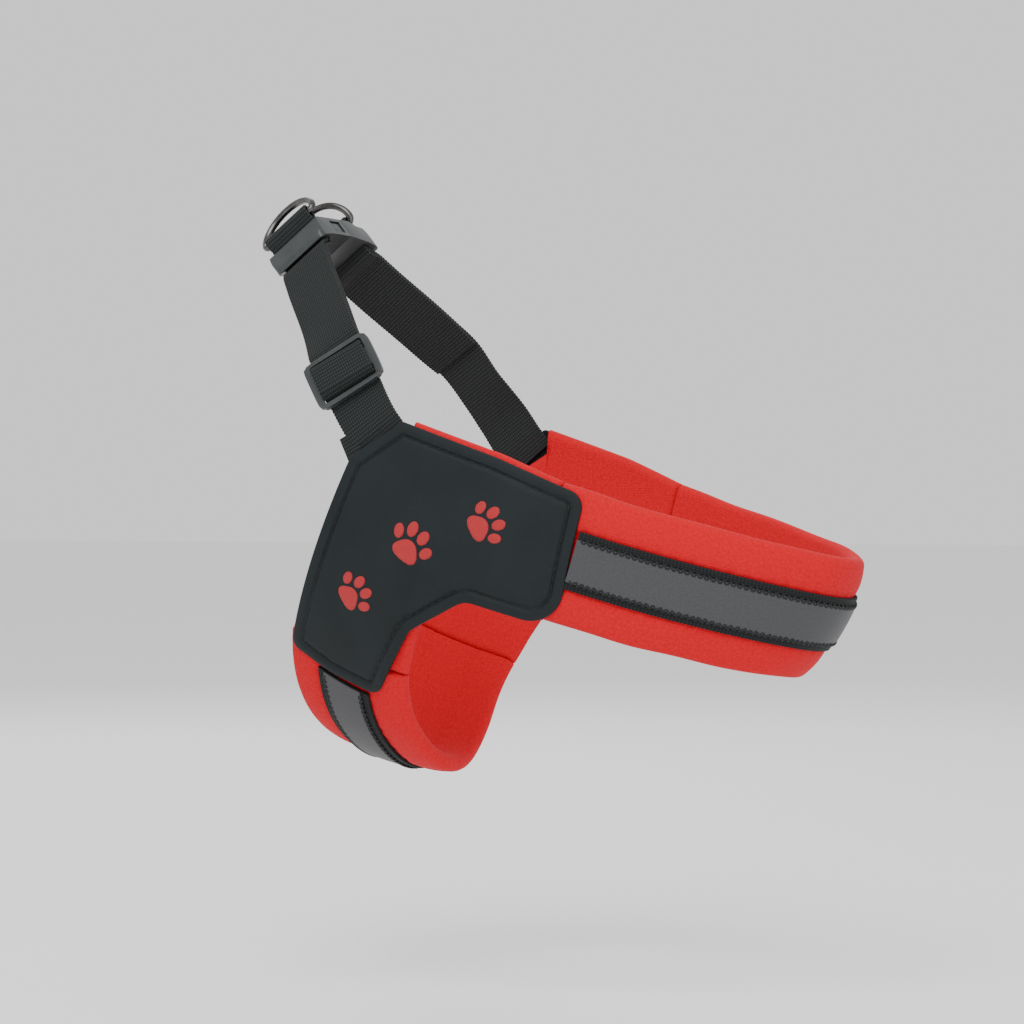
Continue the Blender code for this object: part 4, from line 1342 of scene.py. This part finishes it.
def strap_webbing(side, points):
    path, length = smooth_path(points, PATH_STEP)
    name = f"{side}_strap_webbing"
    strip = flat_strip(name, length, WEBBING_WIDTH, WEBBING_THICK, PATH_STEP, STRAP_CELLS)
    flat = read_points(strip)
    along, across = flat[:, 0].copy(), flat[:, 1].copy()
    runs = np.linspace(0.0, length, len(path))
    centre = read_along(along, runs, path)
    normal = unit(read_along(along, runs, path_normals(path)))
    height = flat[:, 2] - 0.5 * WEBBING_THICK
    height = height + np.sign(height) * RIB_HEIGHT * rib(along, across)
    across = selvedge(along, across, WEBBING_WIDTH)
    mark_cut(strip, flat[:, :2])
    write_points(strip, on_strap(centre + height[:, None] * normal, across, side == "far"))
    face_outwards()
    finish_piece(strip, black_webbing, stands_for=(f"{side}_strap",))
    print(name, round(length / MM, 1), "mm of webbing,", len(strip.data.polygons), "faces")


strap_webbing("near", near_strap_points())
strap_webbing("far", far_strap_points())

# %% [markdown]
# The strap's raw end is folded under where it is sewn to the side. One corner of the fold peeps
# out beside the strap, as it often does on a real harness. On the far strap a short row of dense
# stitches, a bar tack, holds the end that has come back from the ring.

# %% Folded corner
FOLD_AT = (-27.3, 15.6)
FOLD_LONG = 0.0105
FOLD_WIDE = 0.0062
FOLD_TURN = math.radians(118.0)
FOLD_LOW = -0.0008
FOLD_CELLS = 16

near_fold = flat_strip("near_strap_folded_corner", FOLD_LONG, FOLD_WIDE, WEBBING_THICK, PATH_STEP,
                       FOLD_CELLS)
flat = read_points(near_fold)
along, across = flat[:, 0] - 0.5 * FOLD_LONG, flat[:, 1]
forward, up = turned(along, across, FOLD_TURN)
lift = np.where(flat[:, 2] > 0.5 * WEBBING_THICK, 1.0, -1.0) * RIB_HEIGHT * rib(along, across)
mark_cut(near_fold, flat[:, :2])
write_points(near_fold, on_side(FOLD_AT[0] * MM + forward, FOLD_AT[1] * MM + up,
                                FOLD_LOW + flat[:, 2] + lift))
finish_piece(near_fold, black_webbing)
print(near_fold.name, len(near_fold.data.polygons), "faces")

# %% Bar tack
TACK_RISE = 0.0052
TACK_ROWS = 7
TACK_WIDTH = 0.015
TACK_PITCH = 0.0010
TACK_STITCHES = 8
TACK_OVERLAP = 0.0002
TACK_HEIGHT = 0.5 * WEBBING_THICK + 0.0001

far_path, far_length = smooth_path(far_strap_points(), PATH_STEP)
hang_start = int(np.argmin(np.linalg.norm(far_path - on_loop(HANGING_FROM, OUTER_LAYER), axis=1)))


def on_far_strap(x, y, z):
    """A place over the far strap's outer layer, from where it starts to hang free."""
    at = hang_start + x / (far_length / (len(far_path) - 1))
    numbers = np.arange(len(far_path))
    centre = read_along(at, numbers, far_path)
    normal = unit(read_along(at, numbers, path_normals(far_path)))
    return on_strap(centre + z[:, None] * normal, y, True)


tack_seats = []
for row in range(TACK_ROWS):
    for step in range(TACK_STITCHES):
        along = TACK_RISE + (row - 0.5 * TACK_ROWS) * TACK_PITCH
        across = (step - 0.5 * (TACK_STITCHES - 1)) * TACK_WIDTH / TACK_STITCHES
        length = TACK_WIDTH / TACK_STITCHES + TACK_OVERLAP
        tack_seats.append((along, across, 0.5 * math.pi, length, TACK_HEIGHT))
sew("far_strap_bar_tack", tack_seats, on_far_strap)

# %% [markdown]
# ## The slider
#
# A three-bar slider is moulded in one piece: a frame with two slots, whose bars are rounded so that
# the webbing runs over them smoothly. It is modelled flat from a grid, by taking out the two slots,
# and is rounded by a bevel. Then it is laid on the strap, whose curve and twist it takes.

# %% Slider
SLIDER_WIDTH = 0.0255
SLIDER_SLOT_WIDTH = 0.0208
SLIDER_END_BAR = 0.0017
SLIDER_SLOT = 0.0043
SLIDER_MIDDLE_BAR = 0.0067
SLIDER_LOW = 0.0032
SLIDER_THICK = 0.0020
SLIDER_CORNER = 0.0015
SLIDER_CORNER_PULL = 0.0010
SLIDER_EDGE = 0.0005
SLIDER_CROWN = 0.00028


def in_slot(x, y):
    middle = 0.5 * (SLIDER_MIDDLE_BAR + SLIDER_SLOT)
    return abs(abs(x) - middle) < 0.5 * SLIDER_SLOT and abs(y) < 0.5 * SLIDER_SLOT_WIDTH


def make_slider():
    half = 0.5 * SLIDER_MIDDLE_BAR + SLIDER_SLOT
    long_half = half + SLIDER_END_BAR
    columns = [-long_half, -half - 0.5 * SLIDER_END_BAR, -half, -half + 0.5 * SLIDER_SLOT,
               -half + SLIDER_SLOT, 0.0]
    columns += [-x for x in reversed(columns[:-1])]
    wide, slot = 0.5 * SLIDER_WIDTH, 0.5 * SLIDER_SLOT_WIDTH
    rows = [-wide, -0.5 * (wide + slot), -slot, -0.66 * slot, -0.33 * slot, 0.0]
    rows += [-y for y in reversed(rows[:-1])]
    bpy.ops.object.select_all(action="DESELECT")
    bpy.ops.mesh.primitive_grid_add(x_subdivisions=len(columns) - 1, y_subdivisions=len(rows) - 1, size=1.0)
    piece = named("strap_slider")
    for vertex in piece.data.vertices:
        column = round((vertex.co.x + 0.5) * (len(columns) - 1))
        row = round((vertex.co.y + 0.5) * (len(rows) - 1))
        vertex.co.x, vertex.co.y = columns[column], rows[row]
        if column in (0, len(columns) - 1) and row in (0, len(rows) - 1):
            vertex.co.x -= math.copysign(0.6 * SLIDER_CORNER, vertex.co.x)
            vertex.co.y -= math.copysign(0.6 * SLIDER_CORNER, vertex.co.y)
    bpy.ops.object.mode_set(mode="EDIT")
    shape = bmesh.from_edit_mesh(piece.data)
    for face in shape.faces:
        middle = face.calc_center_median()
        face.select_set(in_slot(middle.x, middle.y))
    bmesh.update_edit_mesh(piece.data)
    bpy.ops.mesh.delete(type="FACE")
    bpy.ops.object.mode_set(mode="OBJECT")
    shape_with(piece, "SOLIDIFY", thickness=SLIDER_THICK, offset=1.0)
    shape_with(piece, "BEVEL", width=SLIDER_EDGE, segments=3, limit_method="ANGLE")
    shape_with(piece, "SUBSURF", levels=2, render_levels=2)
    flat = read_points(piece)
    mark_cut(piece, flat[:, :2])
    near_corner = np.abs(flat[:, 0] / long_half) * np.abs(flat[:, 1] / wide)
    flat[:, :2] -= np.sign(flat[:, :2]) * SLIDER_CORNER_PULL * near_corner[:, None] ** 8
    crown = SLIDER_CROWN * np.exp(-((np.abs(flat[:, 0]) - half - 0.5 * SLIDER_END_BAR) / 0.0011) ** 2)
    height = SLIDER_LOW + flat[:, 2] + np.where(flat[:, 2] > 0.5 * SLIDER_THICK, crown, 0.0)
    write_points(piece, on_strap(at_slider(flat[:, 0], height), flat[:, 1]))
    return finish_piece(piece, dark_plastic, stands_for=("slider",))


strap_slider = make_slider()
print(strap_slider.name, len(strap_slider.data.polygons), "faces")

# %% [markdown]
# ## The buckle
#
# A side-release buckle has a socket and a plug. The plug's two prongs spring out in the socket's
# side windows, where a finger and thumb press them to open it. Each half ends in a bar that the
# webbing loops round. Both halves are blocks, cut by other blocks with Boolean modifiers as the
# mould does it, and then bevelled, because every edge of a moulded piece is a little round.

# %% Blocks for the buckle
BUCKLE_WIDTH = 0.0234
BUCKLE_LOW = 0.0010
BUCKLE_HIGH = 0.0087
BUCKLE_BARREL = 0.0003
BUCKLE_CORNER = 3.0
BUCKLE_SLOT_START = 0.0121
BUCKLE_SLOT = 0.0038
BUCKLE_SLOT_WIDTH = 0.0207
BUCKLE_JOINT = 0.0010
BUCKLE_JOINT_GAP = 0.00015
BUCKLE_EDGE = 0.0008
SLOT_EDGE = 0.0007
WINDOW = (-0.0088, -0.0012)
WINDOW_DEPTH = 0.0021
WINDOW_MARGIN = 0.0014
PRONG_GAP = 0.0002
TOOL_MARGIN = 0.004
BUCKLE_PLACE = Matrix.Rotation(WITHERS_PITCH - 0.5 * math.pi, 4, "X")

# Side view of each end, as x, z and corner radius in millimetres, from the underside out to the
# end and back. The ends droop to follow the strap, the far one more than the near one.
NEAR_END = ((13.5, 1.0, 6.0), (18.5, 0.4, 6.0), (20.5, 0.0, 0.5), (21.05, 0.9, 0.5), (20.6, 2.2, 2.0),
            (17.1, 8.7, 1.2))
FAR_END = ((13.5, -0.4, 6.0), (18.5, -1.8, 6.0), (20.5, -2.2, 0.5), (21.05, -1.3, 0.5), (20.6, 0.0, 2.0),
           (17.1, 6.5, 1.2), (12.0, 6.9, 4.0), (9.0, 8.7, 4.0))


def block(name, low, high):
    """A block between two corners in the buckle's own frame."""
    bpy.ops.object.select_all(action="DESELECT")
    bpy.ops.mesh.primitive_cube_add(size=1.0)
    piece = named(name)
    low, high = np.array(low), np.array(high)
    write_points(piece, (read_points(piece) + 0.5) * (high - low) + low)
    return piece


def carve(piece, tool, operation="DIFFERENCE"):
    """Cut a piece with a tool, and put the tool away."""
    shape_with(piece, "BOOLEAN", operation=operation, solver="EXACT", object=tool)
    bpy.data.objects.remove(tool)


def prism(name, outline, low, high, on_side_view):
    """A straight block over an outline in millimetres: its plan, or its side view."""
    bpy.ops.object.select_all(action="DESELECT")
    bpy.ops.mesh.primitive_circle_add(vertices=len(outline), fill_type="NGON")
    piece = named(name)
    for vertex, (first, second) in zip(piece.data.vertices, outline * MM):
        vertex.co = (first, low, second) if on_side_view else (first, second, low)
    rise = (0.0, high - low, 0.0) if on_side_view else (0.0, 0.0, high - low)
    bpy.ops.object.mode_set(mode="EDIT")
    bpy.ops.mesh.select_all(action="SELECT")
    bpy.ops.mesh.extrude_region_move(TRANSFORM_OT_translate={"value": rise})
    face_outwards()
    return piece


def round_edges(piece, width, segments, angle):
    shape_with(piece, "BEVEL", width=width, segments=segments, limit_method="ANGLE",
               angle_limit=math.radians(angle))


def place_hard(piece, place, material, body, stands_for=(), sharp=40.0):
    """Put a hard piece in its place in its mesh, and finish it."""
    piece.data.transform(place)
    piece.data.update()
    mark_cut(piece, read_points(piece)[:, :2])
    finish_piece(piece, material, body, stands_for)
    bpy.ops.object.select_all(action="DESELECT")
    piece.select_set(True)
    bpy.context.view_layer.objects.active = piece
    bpy.ops.object.shade_smooth_by_angle(angle=math.radians(sharp))


print("buckle", 2 * NEAR_END[3][0], "by", BUCKLE_WIDTH / MM, "mm")

# %% Buckle halves
def buckle_half(name, sign, joint, side_view):
    """One half: its plan and its side view crossed, rounded, with the webbing slot cut."""
    half = 0.5 * BUCKLE_WIDTH / MM
    end = max(x for x, z, radius in side_view)
    joint = sign * joint / MM
    barrel = half + BUCKLE_BARREL / MM
    front = [(joint, barrel, 0.0), (0.6 * BUCKLE_SLOT_START / MM, barrel, 20.0), (end, half, BUCKLE_CORNER)]
    corners = front + [(x, -y, radius) for x, y, radius in reversed(front)]
    plan = rounded_outline(corners) * np.array([sign, 1.0])
    body = prism(name, plan, BUCKLE_LOW - TOOL_MARGIN, BUCKLE_HIGH + TOOL_MARGIN, False)
    view = ((joint, BUCKLE_LOW / MM, 0.0),) + side_view + ((joint, BUCKLE_HIGH / MM, 0.0),)
    view = rounded_outline(view) * np.array([sign, 1.0])
    reach = 0.5 * BUCKLE_WIDTH + TOOL_MARGIN
    carve(body, prism("side view", view, -reach, reach, True), "INTERSECT")
    round_edges(body, BUCKLE_EDGE, 4, 50.0)
    low, high = sorted((sign * BUCKLE_SLOT_START, sign * (BUCKLE_SLOT_START + BUCKLE_SLOT)))
    slot = block("slot", (low, -0.5 * BUCKLE_SLOT_WIDTH, BUCKLE_LOW - TOOL_MARGIN),
                 (high, 0.5 * BUCKLE_SLOT_WIDTH, BUCKLE_HIGH + TOOL_MARGIN))
    round_edges(slot, SLOT_EDGE, 3, 60.0)
    carve(body, slot)
    return body


def beside_edge(name, side, inner, outer, gap):
    """A block in the window of one side, from inner to outer across it, with a gap round it."""
    near_y, far_y = sorted((side * inner, side * outer))
    rim = WINDOW_MARGIN + gap
    low = (WINDOW[0] + gap, near_y, BUCKLE_LOW + rim)
    high = (WINDOW[1] - gap, far_y, BUCKLE_HIGH - rim)
    return block(name, low, high)


half = 0.5 * BUCKLE_WIDTH
socket = buckle_half("buckle_socket_body", -1.0, BUCKLE_JOINT - BUCKLE_JOINT_GAP, NEAR_END)
for side in (-1.0, 1.0):
    carve(socket, beside_edge("window", side, half - WINDOW_DEPTH, half + TOOL_MARGIN, 0.0))
place_hard(socket, BUCKLE_PLACE, dark_plastic, BODY, ("buckle_socket",))

plug = buckle_half("buckle_plug_body", 1.0, BUCKLE_JOINT + BUCKLE_JOINT_GAP, FAR_END)
place_hard(plug, BUCKLE_PLACE, dark_plastic, BODY, ("buckle_plug",))

for side, label in ((-1.0, "rear"), (1.0, "front")):
    inner, outer = half - WINDOW_DEPTH - 0.0003, half - 0.0001
    prong = beside_edge(f"buckle_{label}_prong", side, inner, outer, PRONG_GAP)
    round_edges(prong, SLOT_EDGE, 3, 60.0)
    place_hard(prong, BUCKLE_PLACE, dark_plastic, BODY)
for piece in (socket, plug):
    print(piece.name, len(piece.data.polygons), "faces")

# %% [markdown]
# ## The rings
#
# A D-ring is bent from round wire, and its straight side sits in the webbing. It is drawn as a flat
# line of bends and half an ellipse, and the wire's round section is swept along it. Each ring rides
# on its own body, so it can swing in its webbing.

# %% Rings
RING_HALF_WIDTH = 0.0117
RING_DEPTH = 0.0124
RING_CORNER = 0.0022
NEAR_RING_LEAN = math.radians(42.0)
FAR_RING_LEAN = math.radians(-6.0)
WIRE_SIDES = 20


def ring_line():
    """The wire's middle line: the straight side, a corner, half an ellipse and a corner."""
    corner = RING_HALF_WIDTH - RING_CORNER
    line = [(y, 0.0) for y in np.linspace(-corner, corner, 24)]
    line += arc(corner, RING_CORNER, RING_CORNER, RING_CORNER, range(-80, 0, 10))
    line += arc(0.0, RING_CORNER, RING_HALF_WIDTH, RING_DEPTH - RING_CORNER, range(0, 181, 3))
    line += arc(-corner, RING_CORNER, RING_CORNER, RING_CORNER, range(190, 270, 10))
    return np.array(line)


def make_ring(label, side, height, lean):
    line = ring_line()
    steps = np.roll(line, -1, axis=0) - np.roll(line, 1, axis=0)
    outward = unit(np.stack([steps[:, 1], -steps[:, 0]], -1))
    turns = np.linspace(0.0, 2.0 * math.pi, WIRE_SIDES, endpoint=False)
    points = []
    for centre, out in zip(line, outward):
        for turn in turns:
            y, z = centre + RING_WIRE * math.cos(turn) * out
            points.append((RING_WIRE * math.sin(turn), y, z))
    faces = ring_faces([i * WIRE_SIDES for i in range(len(line))] + [0], WIRE_SIDES)
    piece = mesh_piece(f"{label}_leash_ring", points, faces, np.array(points)[:, 1:])
    eye = Matrix.Translation((side * RING_STATION, 0.0, height))
    place_hard(piece, BUCKLE_PLACE @ eye @ Matrix.Rotation(lean, 4, "Y"), dark_steel,
               f"{label}_ring_body", (f"{label}_ring",), 80.0)


make_ring("near", -1.0, NEAR_RING_HEIGHT, NEAR_RING_LEAN)
make_ring("far", 1.0, FAR_RING_HEIGHT, FAR_RING_LEAN)
print("rings of", 2 * RING_WIRE / MM, "mm wire")

# %% [markdown]
# ## The floor
#
# The harness hangs as if it were worn, with its lowest point 75 mm over a plain pale floor. The
# floor and the white surroundings have almost the same tone, as in a studio.

# %% Floor
FLOOR_GAP = 0.075
FLOOR_HEIGHT = cad_box[0][2] - FLOOR_GAP
FLOOR_SIZE = 30.0
bpy.ops.object.select_all(action="DESELECT")
bpy.ops.mesh.primitive_plane_add(size=FLOOR_SIZE, location=(0.0, 0.0, FLOOR_HEIGHT))
floor = bpy.context.object
floor.name = "floor"
floor.data.materials.append(new_finish("studio floor", (0.92, 0.92, 0.92), 0.9))
print("floor at", round(FLOOR_HEIGHT, 4))
